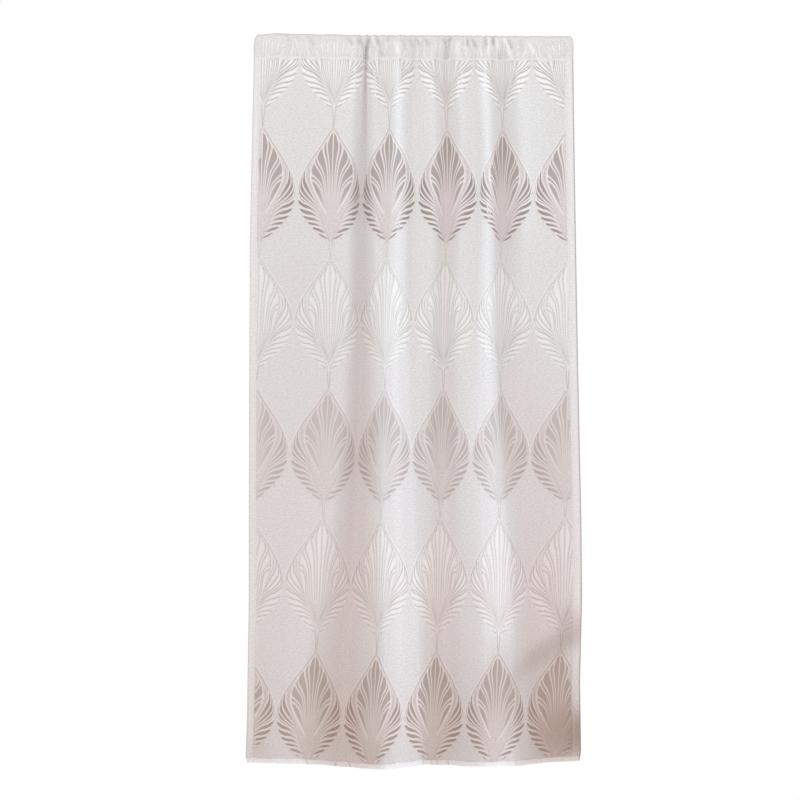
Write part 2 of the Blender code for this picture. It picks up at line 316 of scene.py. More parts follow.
@dataclass(frozen=True)
class Drape:
    """The hang of the cloth: its folds, its puckers under the rod and its finest ripples."""

    flat_width: float = 0.915
    length: float = 1.800
    grid_step: float = 1 * MM
    # where the gathered part of the cloth starts and ends, each over a short way
    gathers_from: tuple[float, float] = (0.20, 0.27)
    gathers_to: tuple[float, float] = (0.78, 0.85)
    # the part of it that is built in finer columns
    fine_from: float = 0.215
    fine_to: float = 0.800
    rod_drop: float = 12 * MM
    seam_drop: float = 57.7 * MM
    ripple_pitch: float = 11 * MM
    ripple_drift: float = 14
    # no fold is drawn in further than to this many times its written depth
    most_draw: float = 8.0
    halvings: int = 40
    mean_bottom: float = 1.7965
    fold_levels: tuple[float, ...] = (0.058, 0.240, 1.000, 1.750)
    fold_rounding: tuple[float, ...] = (5 * MM, 8 * MM, 12 * MM, 17 * MM)

    LEFT_EDGE = (
        (0.000, -0.380),
        (0.011, -0.3865),
        (0.026, -0.3905),
        (0.060, -0.3915),
        (0.210, -0.3950),
        (0.500, -0.401),
        (0.900, -0.403),
        (1.400, -0.404),
        (1.700, -0.4085),
        (1.785, -0.4115),
        (1.800, -0.407),
    )
    RIGHT_EDGE = (
        (0.000, 0.386),
        (0.011, 0.391),
        (0.026, 0.3935),
        (0.060, 0.394),
        (0.360, 0.398),
        (0.800, 0.4055),
        (1.200, 0.4140),
        (1.400, 0.4155),
        (1.600, 0.4105),
        (1.780, 0.4130),
        (1.800, 0.4085),
    )
    # how much of the gathered cloth's width the fine ripples take up, and how far they stand out
    RIPPLE_SHARE = (
        (0.000, 0.165),
        (0.030, 0.150),
        (0.058, 0.110),
        (0.150, 0.070),
        (0.300, 0.030),
        (0.450, 0.010),
        (0.700, 0.000),
    )
    RIPPLE_HEIGHT = (
        (0.000, 1.0 * MM),
        (0.030, 0.8 * MM),
        (0.058, 0.35 * MM),
        (0.150, 0.15 * MM),
        (0.300, 0.0),
    )
    TOP_EDGE = (
        (0.000, -1.5 * MM),
        (0.040, 2.2 * MM),
        (0.120, 0.0),
        (0.250, -1.8 * MM),
        (0.550, -2.5 * MM),
        (0.915, -5.4 * MM),
    )
    BOTTOM_EDGE = (
        (0.000, -1.790),
        (0.136, -1.7905),
        (0.188, -1.799),
        (0.242, -1.811),
        (0.298, -1.811),
        (0.358, -1.805),
        (0.417, -1.793),
        (0.474, -1.792),
        (0.531, -1.802),
        (0.586, -1.802),
        (0.641, -1.797),
        (0.694, -1.791),
        (0.752, -1.797),
        (0.811, -1.800),
        (0.864, -1.794),
        (0.915, -1.786),
    )
    FOLDS = (
        Fold("left edge", (0, 0, 0, 0), (0, 0, 0, 0)),
        Fold("left plain part", (140, 140, 110, 30), (2, 4, 5, 5)),
        Fold("lip left of the deep valley", (254, 252, 232, 138), (6, 10, 10, 14)),
        Fold("deep valley", (293, 290, 289, 250), (-22, -46, -58, -48)),
        Fold("lip right of the deep valley", (328, 332, 340, 332), (5, 2, 4, -6)),
        Fold("small dip", (362, 362, 372, 370), (-3, -2, 26, 22)),
        Fold("bright crest", (400, 404, 410, 412), (13, 30, 62, 48)),
        Fold("soft dip", (446, 448, 462, 457), (-7, -8, 18, 29)),
        Fold("middle crest", (503, 506, 502, 502), (7, 10, 12, 0)),
        Fold("middle valley", (549, 549, 542, 541), (-14, -30, -24, -30)),
        Fold("low crest", (592, 590, 588, 592), (7, 10, 12, -7)),
        Fold("dip", (631, 630, 634, 640), (-4, 0, 22, 12)),
        Fold("right crest", (668, 668, 676, 694), (10, 38, 52, 43)),
        Fold("right valley", (724, 724, 742, 812), (-13, -32, -16, -40)),
        Fold("far crest", (772, 780, 790, 860), (6, 14, -26, -30)),
        Fold("right edge", (915, 915, 915, 915), (0, 0, 0, 0)),
    )
    PUCKERS = (
        Pucker(93, 98, 24, 1.5, 0.8, 0.10),
        Pucker(152, 146, 24, 2.0, 1.0, 0.12),
        Pucker(222, 230, 20, 3.6, 2.0, 0.14),
        Pucker(265, 276, 14, 6.0, 3.0, 0.14),
        Pucker(293, 294, 13, 5.5, 12.0, 0.52),
        Pucker(319, 322, 11, 5.0, 2.4, 0.13),
        Pucker(346, 350, 13, 5.0, 2.4, 0.13),
        Pucker(376, 370, 13, 5.0, 2.4, 0.15),
        Pucker(413, 416, 13, 5.6, 2.6, 0.14),
        Pucker(444, 446, 12, 5.6, 4.2, 0.30),
        Pucker(472, 470, 12, 4.8, 2.4, 0.14),
        Pucker(496, 499, 11, 4.4, 2.0, 0.13),
        Pucker(517, 525, 11, 4.0, 2.2, 0.14),
        Pucker(540, 548, 11, 6.4, 4.6, 0.34),
        Pucker(566, 566, 11, 4.6, 2.0, 0.13),
        Pucker(594, 590, 13, 4.6, 2.2, 0.14),
        Pucker(617, 617, 10, 4.2, 2.0, 0.13),
        Pucker(637, 637, 10, 4.4, 2.4, 0.15),
        Pucker(669, 660, 13, 5.0, 2.2, 0.13),
        Pucker(695, 698, 12, 5.0, 2.4, 0.14),
        Pucker(722, 729, 12, 5.0, 3.4, 0.30),
        Pucker(744, 760, 12, 4.8, 2.4, 0.15),
        Pucker(799, 818, 20, 3.0, 2.0, 0.14),
        Pucker(856, 855, 20, 1.6, 1.0, 0.11),
    )

    def gathered(self, grid: Array) -> Array:
        """How far the cloth is gathered at each place: 1 in the middle and 0 at its plain sides."""
        return ramp(*self.gathers_from, grid) * (1 - ramp(*self.gathers_to, grid))

    def grid(self) -> Array:
        """Evenly spaced places across the flat cloth."""
        return np.arange(0, self.flat_width + self.grid_step / 2, self.grid_step)

    def eased(self, values: tuple[float, ...], drop: float) -> float:
        """A smooth curve down the cloth through one value for each fold level.

        Args:
            values: The value at each fold level.
            drop: Where to read it.

        Returns:
            The value there.
        """
        levels = self.fold_levels
        drop = min(max(drop, levels[0]), levels[-1])
        slopes = np.gradient(np.array(values, float), np.array(levels))
        slopes[[0, -1]] = 0
        low = min(int(np.searchsorted(levels, drop, side="right")) - 1, len(levels) - 2)
        span = levels[low + 1] - levels[low]
        t = (drop - levels[low]) / span
        start = values[low] * (1 + 2 * t) * (1 - t) ** 2 + slopes[low] * span * t * (1 - t) ** 2
        end = values[low + 1] * t**2 * (3 - 2 * t) - slopes[low + 1] * span * t**2 * (1 - t)
        return start + end

    def fold_line(self, drop: float) -> Array:
        """How far forward the main folds bring the cloth at a drop.

        Args:
            drop: The drop.

        Returns:
            The distance forward at each place of the grid, before the cloth is drawn in.
        """
        places = [self.eased(fold.across_mm, drop) * MM for fold in self.FOLDS]
        heights = [self.eased(fold.forward_mm, drop) * MM for fold in self.FOLDS]
        reach = self.eased(self.fold_rounding, drop)
        half = round(3 * reach / self.grid_step)
        weights = np.exp(-0.5 * (np.arange(-half, half + 1) * self.grid_step / reach) ** 2)
        line = np.pad(np.interp(self.grid(), places, heights), half, mode="edge")
        line = np.convolve(line, weights / weights.sum(), mode="valid")
        return line * ramp(self.rod_drop, self.seam_drop, drop)

    def pucker_line(self, drop: float) -> Array:
        """How far the puckers draw the cloth back at a drop.

        Args:
            drop: The drop.

        Returns:
            A distance below zero at each place of the grid.
        """
        grid = self.grid()
        down = ramp(0, self.seam_drop, drop)
        line = np.zeros(len(grid))
        for pucker in self.PUCKERS:
            place = (pucker.at_rod_mm * (1 - down) + pucker.at_seam_mm * down) * MM
            depth = (pucker.deep_at_rod_mm * (1 - down) + pucker.deep_at_seam_mm * down) * MM
            depth *= 1 - ramp(self.seam_drop, pucker.fades_by, drop)
            t = np.clip((grid - place) / (pucker.half_width_mm * MM), -1, 1)
            line -= depth * (1 - t * t) ** 2
        return line

    def ripple_line(self, drop: float) -> Array:
        """The small ripples that the solids leave out, strongest where the cloth is gathered.

        Args:
            drop: The drop.

        Returns:
            The distance forward at each place of the grid.
        """
        grid = self.grid()
        height = between(self.RIPPLE_HEIGHT, drop) * (0.2 + 0.8 * self.gathered(grid))
        drift = 2.2 * np.sin(grid * 61) + 1.4 * np.sin(grid * 133 + 1) + self.ripple_drift * drop
        wave = np.sin(grid * math.tau / self.ripple_pitch + drift)
        return height * wave * (0.65 + 0.35 * np.sin(grid * 97 + 9 * drop))

    def course(self, drop: float) -> Course:
        """Draws the folds and puckers in until the cloth is as wide as it hangs at this drop.

        Args:
            drop: The drop.

        Returns:
            How the cloth lies there, over the grid.
        """
        grid = self.grid()

        def travelled(rate: Array) -> Array:
            """How far a path has gone at each place, from its rate there."""
            return np.concatenate([[0], np.cumsum((rate[1:] + rate[:-1]) / 2 * np.diff(grid))])

        def levelled(line: Array) -> Array:
            """The line tipped so that it ends at the height where it began."""
            return line - line[-1] * np.linspace(0, 1, len(line))

        pucker_slope = np.gradient(self.pucker_line(drop), grid)
        slope = np.gradient(self.fold_line(drop), grid) + pucker_slope
        left = between(self.LEFT_EDGE, drop)
        hung_width = between(self.RIGHT_EDGE, drop) - left
        taken_up = 1 - between(self.RIPPLE_SHARE, drop) * self.gathered(grid)
        low = 0.0
        high = self.most_draw
        for _ in range(self.halvings):
            draw = (low + high) / 2
            if travelled(taken_up / np.hypot(1, draw * slope))[-1] > hung_width:
                low = draw
            else:
                high = draw
        steep = np.hypot(1, draw * slope)
        forward = levelled(travelled(taken_up * draw * slope / steep)) + self.ripple_line(drop)
        puckered = levelled(travelled(taken_up * draw * pucker_slope / steep))
        return Course(grid, left + travelled(taken_up / steep), forward, puckered)

    def height(self, across: Array, drop: float) -> Array:
        """The height of the cloth at a drop, whose top and bottom edges aren't quite straight.

        Args:
            across: Places across the flat cloth.
            drop: The drop.

        Returns:
            The height above the origin.
        """
        share = drop / self.length
        top = between(self.TOP_EDGE, across)
        uneven = between(self.BOTTOM_EDGE, across) + self.mean_bottom
        return top * (1 - share) - self.mean_bottom * share + uneven * share**3

    def columns(self, gathered_step: float, plain_step: float) -> Array:
        """Places across the flat cloth, closer together where it is gathered.

        Args:
            gathered_step: The step where it is gathered.
            plain_step: The step elsewhere.

        Returns:
            The places, from edge to edge.
        """
        left = np.arange(0, self.fine_from, plain_step)
        middle = np.arange(self.fine_from, self.fine_to, gathered_step)
        steps = round((self.flat_width - self.fine_to) / plain_step)
        right = np.linspace(self.fine_to, self.flat_width, steps + 1)
        return np.concatenate([left, middle, right])


@dataclass(frozen=True)
class HungCloth:
    """The middle surface of the hung cloth: a grid of points, and the way out of its front there.

    The pattern is laid into it between two drops. Its yarns take the colour of their leaf's
    ground by least_fade or more, and one below zero asks for nothing.
    """

    across: Array
    drops: Array
    points: Array
    fronts: Array
    pattern_from: float
    pattern_to: float
    least_fade: float = -1.0

    # how far the pattern stays off the stitched line and off the cloth's foot
    SEAM_MARGIN = 1.5 * MM
    FOOT_MARGIN = 13 * MM

    @classmethod
    def from_drape(cls, drape: Drape, across: Array, drops: Array) -> "HungCloth":
        """Hangs the cloth.

        Args:
            drape: How it hangs.
            across: The grid's places across the flat cloth.
            drops: The grid's drops.

        Returns:
            The hung cloth.
        """
        rows = []
        for drop in drops:
            course = drape.course(drop).at(across)
            forward = course.forward + cls.unevenness(across, drop)
            rows.append(np.stack([course.along, -forward, drape.height(across, drop)], axis=1))
        points = np.array(rows)
        start, end = drops[0] + cls.SEAM_MARGIN, drops[-1] - cls.FOOT_MARGIN
        return cls(across, drops, points, cls.facing(points), start, end)

    @staticmethod
    def facing(points: Array) -> Array:
        """The way out of the front at each point of a grid, at length one."""
        fronts = np.cross(np.gradient(points, axis=0), np.gradient(points, axis=1))
        return fronts / np.linalg.norm(fronts, axis=2, keepdims=True)

    @staticmethod
    def unevenness(across: Array, drop: float) -> Array:
        """The slight waves that a light cloth keeps where it hangs free, up to a millimetre or so.

        Args:
            across: Places across the flat cloth.
            drop: The drop.

        Returns:
            The distance forward at each place.
        """
        free = ramp(0.06, 0.40, drop)
        long_waves = np.sin(across * 31 + 2.3 * drop) * np.sin(drop * 5.1 + across * 3)
        short_waves = np.sin(across * 83 - 4 * drop + 1) * np.sin(drop * 11 + 2)
        return free * MM * (0.9 * long_waves + 0.45 * short_waves)

    def place(self, across: Array, drop: Array, out: Array) -> Array:
        """Carries spots of the flat cloth to where they hang.

        Args:
            across: Places across the flat cloth.
            drop: Their drops.
            out: How far each stands out of the middle surface, towards the front.

        Returns:
            The points.
        """
        column = np.interp(across, self.across, np.arange(len(self.across)))
        row = np.interp(drop, self.drops, np.arange(len(self.drops)))
        i = np.minimum(column.astype(int), len(self.across) - 2)
        j = np.minimum(row.astype(int), len(self.drops) - 2)
        u = (column - i)[..., None]
        v = (row - j)[..., None]

        def blend(field: Array) -> Array:
            """Reads a field between its four nearest grid points."""
            upper, lower = (field[k, i] * (1 - u) + field[k, i + 1] * u for k in (j, j + 1))
            return upper * (1 - v) + lower * v

        return blend(self.points) + blend(self.fronts) * np.asarray(out)[..., None]


# The leaf pattern on the flat cloth


class LeafRow(Enum):
    """The two kinds of leaf rows, which take turns down the cloth."""

    TAUPE = "taupe blades between pale cords"
    WHITE = "white blades between grey lines"


class YarnPart(Enum):
    """What a strip of yarn is in its leaf."""

    BLADE = "flat blade"
    CORD = "raised cord"
    # a thin grey line is painted shadow beside a raised cord
    LINE = "thin grey line"
    HALO = "pale line beside a grey one"


@dataclass(frozen=True)
class Strip:
    """A narrow band of yarn on the flat leaf, between two lines of points.

    fade says how far each pair of points takes the colour of the leaf's ground instead of its own.
    Below zero, the yarn is that much further from the ground's colour.
    """

    part: YarnPart
    left: Array
    right: Array
    rise: float
    fade: Array


class Vein(NamedTuple):
    """A vein of the inner leaf, in millimetres out from the axis and down from the leaf's tip."""

    leaves_rim_at: float
    elbow_out: float
    elbow_drop: float
    end_out: float
    end_drop: float


class Barb(NamedTuple):
    """A barb, from the leaf's edge in to its stem.

    Its places are in millimetres, out from the axis and down from the leaf's tip.
    """

    leaves_edge_at: float
    outer_out: float
    outer_drop: float
    inner_out: float
    inner_drop: float
    foot_drop: float


class Blade(NamedTuple):
    """A blade between two veins or barbs: its share of the gap, and where it starts and ends.

    fade_in_white says how far it takes the colour of the leaf's ground in a white leaf.
    """

    share: float
    start: float
    end: float
    fade_in_white: float = 0.0


class CordKind(NamedTuple):
    """How a cord or line is drawn: what it is in its leaf, and its width at its start.

    fade is how far its start and its end take the colour of the leaf's ground, and slims_to is
    its width at its end as a share of that at its start.
    """

    part: YarnPart
    width: float
    fade: tuple[float, float] = (0.0, 0.0)
    slims_to: float = 1.0


class BladeKind(NamedTuple):
    """What the blades between barbs, or those between veins, have in common.

    widest is where along its length a blade is widest, tip is how wide it starts as a share of
    that, and slimmer is how much of its width it has in a white leaf. fade is how far its start
    and its far end take the colour of the leaf's ground in a taupe leaf, and far_fade is how far
    its far end does in a white one.
    """

    widest: float
    tip: float
    slimmer: float
    fade: tuple[float, float]
    far_fade: float


@dataclass(frozen=True)
class LeafMotif:
    """One leaf of the pattern, tip up. x is out from its axis and y is down from its tip.

    Barbs run from the leaf's edge in to its stem, and veins from the inner rim down to the stem.
    Between each two of them lies a blade of yarn that tapers to both ends.
    """

    # how far the pale line around the tip is from the grey one, and how far down that one goes
    halo_out: float = 3.4 * MM
    tip_line_ends: float = 0.158
    # how far down a line starts between the rim and the first barb, and a blade inside the rim
    beside_from: float = 0.100
    rim_blade_from: float = 0.138
    # the barbs in the middle of a taupe leaf are its widest ones
    widest_barb: float = 5.6 * MM
    widens_over: tuple[float, float] = (0.15, 0.5)
    slims_over: tuple[float, float] = (0.7, 1.0)
    slims_by: float = 0.6
    # white leaves are a little shorter, so the stem under them is longer
    stem_under_white: float = 49 * MM
    stem_under_taupe: float = 41 * MM
    # the veins of a white leaf spread wider than a taupe one's before they meet at its foot
    white_spread: float = 1.7
    # their third point lies this far on from elbow to end, sideways and down
    vein_bow: tuple[float, float] = (0.62, 0.33)
    # where they end in a white leaf, and how that moves with how far out they are
    white_foot: tuple[float, float] = (0.4 * MM, 275 * MM)
    white_foot_spread: tuple[float, float] = (0.10, -0.5)
    # how far down the middle of the leaf its cord and its innermost blades run
    axis_top: float = 0.012
    taupe_axis_foot: float = 0.205
    taupe_blades_foot: float = 0.200
    white_axis_foot: float = 0.270
    # blades are longer in a white leaf, but none goes on to the very end of its gap
    white_longer: float = 1.12
    longest: float = 0.98
    # a blade's points crowd towards its start, its ends are round, and neither is quite pointed
    blade_crowding: float = 1.15
    blade_roundness: float = 0.6
    blade_point: float = 0.05
    blade_fading: float = 2.5
    # how wide a cord is at its very ends, as a share of its width
    cord_point: float = 0.45
    # how softly the net inside a leaf changes to that outside, and how far off a spot above or
    # below the leaf counts as
    field_edge: float = 2 * MM
    outside: float = 10 * MM
    step: float = 7 * MM
    # how far the yarns stand out of the cloth, at their edges and in their middle
    edge_rise: float = 0.60 * MM
    blade_rise: float = 0.80 * MM
    cord_rise: float = 0.95 * MM
    line_rise: float = 0.72 * MM

    # how many points the long and the short lines are drawn with
    EDGE_POINTS = 240
    LINE_POINTS = 60
    AXIS_CORD = CordKind(YarnPart.CORD, 2.6 * MM, (0.0, 0.8))
    VEIN_CORD = CordKind(YarnPart.CORD, 3.0 * MM, (0.0, 0.8), 0.6)
    BARB_CORD = CordKind(YarnPart.CORD, 3.0 * MM, (0.0, 0.3), 0.7)
    RIM_CORD = CordKind(YarnPart.CORD, 3.0 * MM)
    RIM_FOOT_CORD = CordKind(YarnPart.CORD, 4.6 * MM)
    # the grey lines are painted shadow beside the raised cords
    AXIS_LINE = CordKind(YarnPart.LINE, 1.4 * MM, (0.3, 0.7))
    FINE_LINE = CordKind(YarnPart.LINE, 1.4 * MM, (0.05, 0.70), 0.45)
    BARB_LINE = CordKind(YarnPart.LINE, 2.0 * MM, (0.0, 0.3))
    BESIDE_LINE = CordKind(YarnPart.LINE, 2.0 * MM, (0.2, 0.8))
    STEM_LINE = CordKind(YarnPart.LINE, 2.0 * MM, (0.45, 0.1))
    STEM_EDGE_LINE = CordKind(YarnPart.LINE, 1.6 * MM, (0.7, 0.3))
    TIP_LINE = CordKind(YarnPart.LINE, 2.0 * MM, (0.3, 0.4))
    TIP_HALO = CordKind(YarnPart.HALO, 2.0 * MM)
    STEM_CORE = CordKind(YarnPart.HALO, 1.4 * MM, (0.0, 0.4))
    BETWEEN_BARBS = BladeKind(0.26, 0.55, 0.78, (-0.18, 0.25), 0.4)
    BETWEEN_VEINS = BladeKind(0.12, 0.80, 0.62, (0.14, 0.9), 0.5)
    OUTLINE = (
        (0.000, 0.000),
        (0.009, 0.013),
        (0.018, 0.027),
        (0.027, 0.042),
        (0.037, 0.056),
        (0.048, 0.072),
        (0.060, 0.092),
        (0.070, 0.111),
        (0.078, 0.131),
        (0.083, 0.154),
        (0.083, 0.178),
        (0.078, 0.199),
        (0.069, 0.218),
        (0.055, 0.237),
        (0.040, 0.252),
        (0.024, 0.267),
        (0.006, 0.281),
    )
    RIM = (
        (0.000, 0.008),
        (0.008, 0.020),
        (0.0175, 0.036),
        (0.033, 0.0585),
        (0.045, 0.080),
        (0.0515, 0.102),
        (0.0525, 0.124),
        (0.047, 0.145),
        (0.035, 0.172),
        (0.021, 0.197),
        (0.012, 0.213),
    )
    # where the inner rim of a white leaf runs instead, from the eighth point on
    WHITE_RIM_FOOT = (
        (0.0480, 0.145),
        (0.0430, 0.168),
        (0.0345, 0.194),
        (0.0220, 0.222),
        (0.0050, 0.262),
    )
    VEINS = (
        Vein(20, 14.5, 47, 3.5, 200),
        Vein(38, 24.5, 54, 6.5, 198),
        Vein(62, 38.5, 80, 10.0, 193),
        Vein(81, 41.5, 93, 13.0, 190),
        Vein(115, 41.5, 123, 16.0, 187),
        Vein(129, 41.0, 134, 18.0, 192),
    )
    VEIN_BLADES = (
        Blade(0.76, 0.00, 0.82, 0.10),
        Blade(0.38, 0.02, 0.74, 0.00),
        Blade(0.74, 0.00, 0.82, 0.15),
        Blade(0.48, 0.02, 0.78, 0.00),
        Blade(0.80, 0.00, 0.88, 0.15),
        Blade(0.40, 0.00, 0.82, 0.00),
        Blade(0.56, 0.02, 0.97, 0.10),
    )
    BARBS = (
        Barb(101, 66.0, 125, 55.0, 150, 178),
        Barb(114, 73.0, 139, 60.0, 163, 187),
        Barb(128, 79.0, 152, 63.5, 174, 196),
        Barb(148, 79.0, 169, 60.0, 184, 205),
        Barb(171, 71.0, 183, 53.0, 192, 213),
        Barb(192, 66.5, 200, 49.0, 205, 221),
        Barb(211, 59.0, 217, 43.0, 219.5, 231),
        Barb(228, 48.0, 231, 37.0, 233, 241),
        Barb(241, 40.0, 243, 30.0, 245, 252),
        Barb(255, 30.0, 257, 21.5, 262, 266),
        Barb(270, 16.5, 273, 11.0, 277, 281),
    )
    BARB_BLADES = (
        Blade(0.60, 0.02, 0.97),
        Blade(0.60, 0.02, 0.97),
        Blade(0.58, 0.02, 0.98),
        Blade(0.54, 0.00, 0.98),
        Blade(0.52, 0.00, 0.84),
        Blade(0.54, 0.00, 0.80),
        Blade(0.52, 0.00, 0.78),
        Blade(0.50, 0.00, 0.76),
        Blade(0.54, 0.00, 0.92),
        Blade(0.54, 0.00, 0.98),
    )
    # how far the stem's edge is from the axis, down the leaf
    STEM_EDGE = (
        (0.178, 0.040),
        (0.196, 0.036),
        (0.210, 0.031),
        (0.227, 0.0240),
        (0.240, 0.0185),
        (0.250, 0.0145),
        (0.262, 0.0090),
        (0.275, 0.0045),
        (0.282, 0.0030),
    )

    @staticmethod
    def from_drop(line: Array, drop: float) -> Array:
        """The part of a line below a drop."""
        return line[np.searchsorted(line[:, 1], drop) :]

    def barb_lines(self) -> list[Array]:
        """The barbs of the right half, from the top one down, each from the edge in to the stem.

        Returns:
            The barbs.
        """
        edge = smooth_line(self.OUTLINE, self.EDGE_POINTS)
        lines = []
        for barb in self.BARBS:
            start = self.from_drop(edge, barb.leaves_edge_at * MM)[0]
            outer = np.array([barb.outer_out, barb.outer_drop]) * MM
            inner = np.array([barb.inner_out, barb.inner_drop]) * MM
            foot = barb.foot_drop * MM
            end = np.array([between(self.STEM_EDGE, foot), foot])
            lines.append(smooth_line((start, outer, inner, end), self.LINE_POINTS))
        return lines

    def vein_lines(self, row: LeafRow) -> list[Array]:
        """The veins of the right half, from the axis out, each from the inner rim down to the stem.

        Args:
            row: Which kind of row they are for: those of a white leaf run on to the leaf's foot.

        Returns:
            The veins.
        """
        spread = 1.0 if row is LeafRow.TAUPE else self.white_spread
        rim = smooth_line(self.RIM, self.EDGE_POINTS)
        lines = []
        for vein in self.VEINS:
            start = self.from_drop(rim, vein.leaves_rim_at * MM)[0]
            elbow = np.array([vein.elbow_out, vein.elbow_drop]) * MM
            end = np.array([vein.end_out * spread, vein.end_drop]) * MM
            points = [start, elbow, elbow + (end - elbow) * np.array(self.vein_bow), end]
            if row is LeafRow.WHITE:
                points.append(np.array(self.white_foot) + np.array(self.white_foot_spread) * end[0])
            lines.append(smooth_line(points, self.LINE_POINTS))
        return lines

    def rim_line(self, row: LeafRow) -> Array:
        """The inner rim, which runs on to the leaf's foot in a white leaf.

        Args:
            row: Which kind of row it is for.

        Returns:
            Points along it.
        """
        points = self.RIM if row is LeafRow.TAUPE else (*self.RIM[:7], *self.WHITE_RIM_FOOT)
        return smooth_line(points, self.EDGE_POINTS)

    def blade(
        self, sides: tuple[Array, Array], shape: Blade, kind: BladeKind, fade: tuple[float, float]
    ) -> Strip:
        """The blade between two barbs or veins.

        Args:
            sides: The line on each side of it.
            shape: Its share of the gap, its start and its end.
            kind: Whether it is between barbs or between veins.
            fade: How far its start and its far end take the colour of the leaf's ground.

        Returns:
            The blade.
        """
        steps = np.arange(len(sides[0]))
        length = lengths_along(sides[0])[-1] * (shape.end - shape.start)
        u = np.linspace(0, 1, max(5, round(length / self.step) + 1)) ** self.blade_crowding
        along = (shape.start + (shape.end - shape.start) * u) * steps[-1]
        a, b = (read_line(along, steps, line) for line in sides)
        rising = np.sin(math.pi / 2 * np.clip(u / kind.widest, 0, 1)) ** self.blade_roundness
        rising = kind.tip + (1 - kind.tip) * rising
        falling = np.clip((u - kind.widest) / (1 - kind.widest), 0, 1)
        falling = np.cos(math.pi / 2 * falling) ** self.blade_roundness
        fullness = np.maximum(np.minimum(rising, falling), self.blade_point)
        half = (b - a) / 2 * shape.share * fullness[:, None]
        middle = (a + b) / 2
        fading = fade[0] + (max(fade) - fade[0]) * u**self.blade_fading
        return Strip(YarnPart.BLADE, middle - half, middle + half, self.blade_rise, fading)

    def blades(self, row: LeafRow) -> list[Strip]:
        """The blades of the right half. Those of a white leaf are slimmer and longer.

        Args:
            row: Which kind of row they are for.

        Returns:
            The blades.
        """
        taupe = row is LeafRow.TAUPE
        count = self.LINE_POINTS
        end = self.taupe_blades_foot if taupe else self.white_axis_foot
        axis = np.stack([np.zeros(count), np.linspace(self.axis_top, end, count)], axis=1)
        foot = even_steps(self.from_drop(self.rim_line(row), self.rim_blade_from), count)
        found = []
        for kind, shapes, lines in (
            (self.BETWEEN_BARBS, self.BARB_BLADES, self.barb_lines()),
            (self.BETWEEN_VEINS, self.VEIN_BLADES, [axis, *self.vein_lines(row), foot]),
        ):
            fuller, longer = (1.0, 1.0) if taupe else (kind.slimmer, self.white_longer)
            for one, other, shape in zip(lines, lines[1:], shapes):
                fade = kind.fade if taupe else (shape.fade_in_white, kind.far_fade)
                furthest = min(shape.end * longer, self.longest)
                shape = shape._replace(share=shape.share * fuller, end=furthest)
                found.append(self.blade((one, other), shape, kind, fade))
        return found

    def cord(self, line: Array, kind: CordKind) -> Strip:
        """A cord or a thin line along a line of points.

        Args:
            line: Points along it.
            kind: How it is drawn.

        Returns:
            The cord.
        """
        line = even_steps(line, max(3, round(lengths_along(line)[-1] / self.step) + 1))
        taper = np.linspace(1, kind.slims_to, len(line))
        taper[[0, -1]] *= self.cord_point
        half = self.sideways(line) * (kind.width / 2 * taper)[:, None]
        start, end = kind.fade
        fading = start + (end - start) * np.linspace(0, 1, len(line)) ** 2
        rise = self.cord_rise if kind.part is YarnPart.CORD else self.line_rise
        return Strip(kind.part, line - half, line + half, rise, fading)

    @staticmethod
    def sideways(line: Array) -> Array:
        """The direction across a line of points at each of them, at length one."""
        across = np.gradient(line, axis=0)[:, ::-1] * np.array([-1, 1])
        return across / np.linalg.norm(across, axis=1, keepdims=True)

    def cords(self, row: LeafRow) -> list[Strip]:
        """The cords, or the grey lines of painted shadow, of the right half: barbs, veins and the
        inner rim.

        Args:
            row: Which kind of row they are for.

        Returns:
            The cords.
        """
        rim = self.rim_line(row)
        barbs = self.barb_lines()
        veins = self.vein_lines(row)
        # one more grey line of painted shadow runs half way between the rim and the first barb
        foot = rim[(rim[:, 1] > self.beside_from) & (rim[:, 1] < barbs[0][-1, 1])]
        beside = sum(even_steps(line, self.LINE_POINTS) for line in (foot, barbs[0])) / 2
        if row is LeafRow.WHITE:
            found = [self.cord(line, self.FINE_LINE) for line in (beside, rim, *veins)]
            found += [self.cord(line, self.BARB_LINE) for line in barbs]
            return [*found, self.stem_edge()]
        found = [self.cord(beside, self.BESIDE_LINE), self.stem_edge()]
        found += [self.cord(line, self.VEIN_CORD) for line in veins]
        kind = self.BARB_CORD
        for q, line in zip(np.linspace(0, 1, len(barbs)), barbs):
            wider = ramp(*self.widens_over, q) * (1 - self.slims_by * ramp(*self.slims_over, q))
            width = kind.width + (self.widest_barb - kind.width) * wider
            slims_to = kind.slims_to * kind.width / width
            found.append(self.cord(line, kind._replace(width=width, slims_to=slims_to)))
        # the rim is thicker from its middle on
        found.append(self.cord(rim[:120], self.RIM_CORD))
        found.append(self.cord(rim[114:], self.RIM_FOOT_CORD))
        return found

    def stem_edge(self) -> Strip:
        """The thin grey line of painted shadow along the stem's edge, where the barbs end."""
        line = smooth_line([(out, drop) for drop, out in self.STEM_EDGE], 40)
        return self.cord(line, self.STEM_EDGE_LINE)

    def stem_length(self, row: LeafRow) -> float:
        """How long the stem above a leaf is."""
        return self.stem_under_white if row is LeafRow.TAUPE else self.stem_under_taupe

    def axis_cords(self, row: LeafRow) -> list[Strip]:
        """The stem's pale core, and the cord or the grey line of painted shadow up the middle of the
        leaf.

        Args:
            row: Which kind of row they are for.

        Returns:
            The two of them.
        """
        kind, foot = self.AXIS_LINE, self.white_axis_foot
        if row is LeafRow.TAUPE:
            kind, foot = self.AXIS_CORD, self.taupe_axis_foot
        stem = np.array([[0, -self.stem_length(row)], [0, -0.010]])
        axis = np.array([[0, self.axis_top], [0, foot]])
        return [self.cord(stem, self.STEM_CORE), self.cord(axis, kind)]

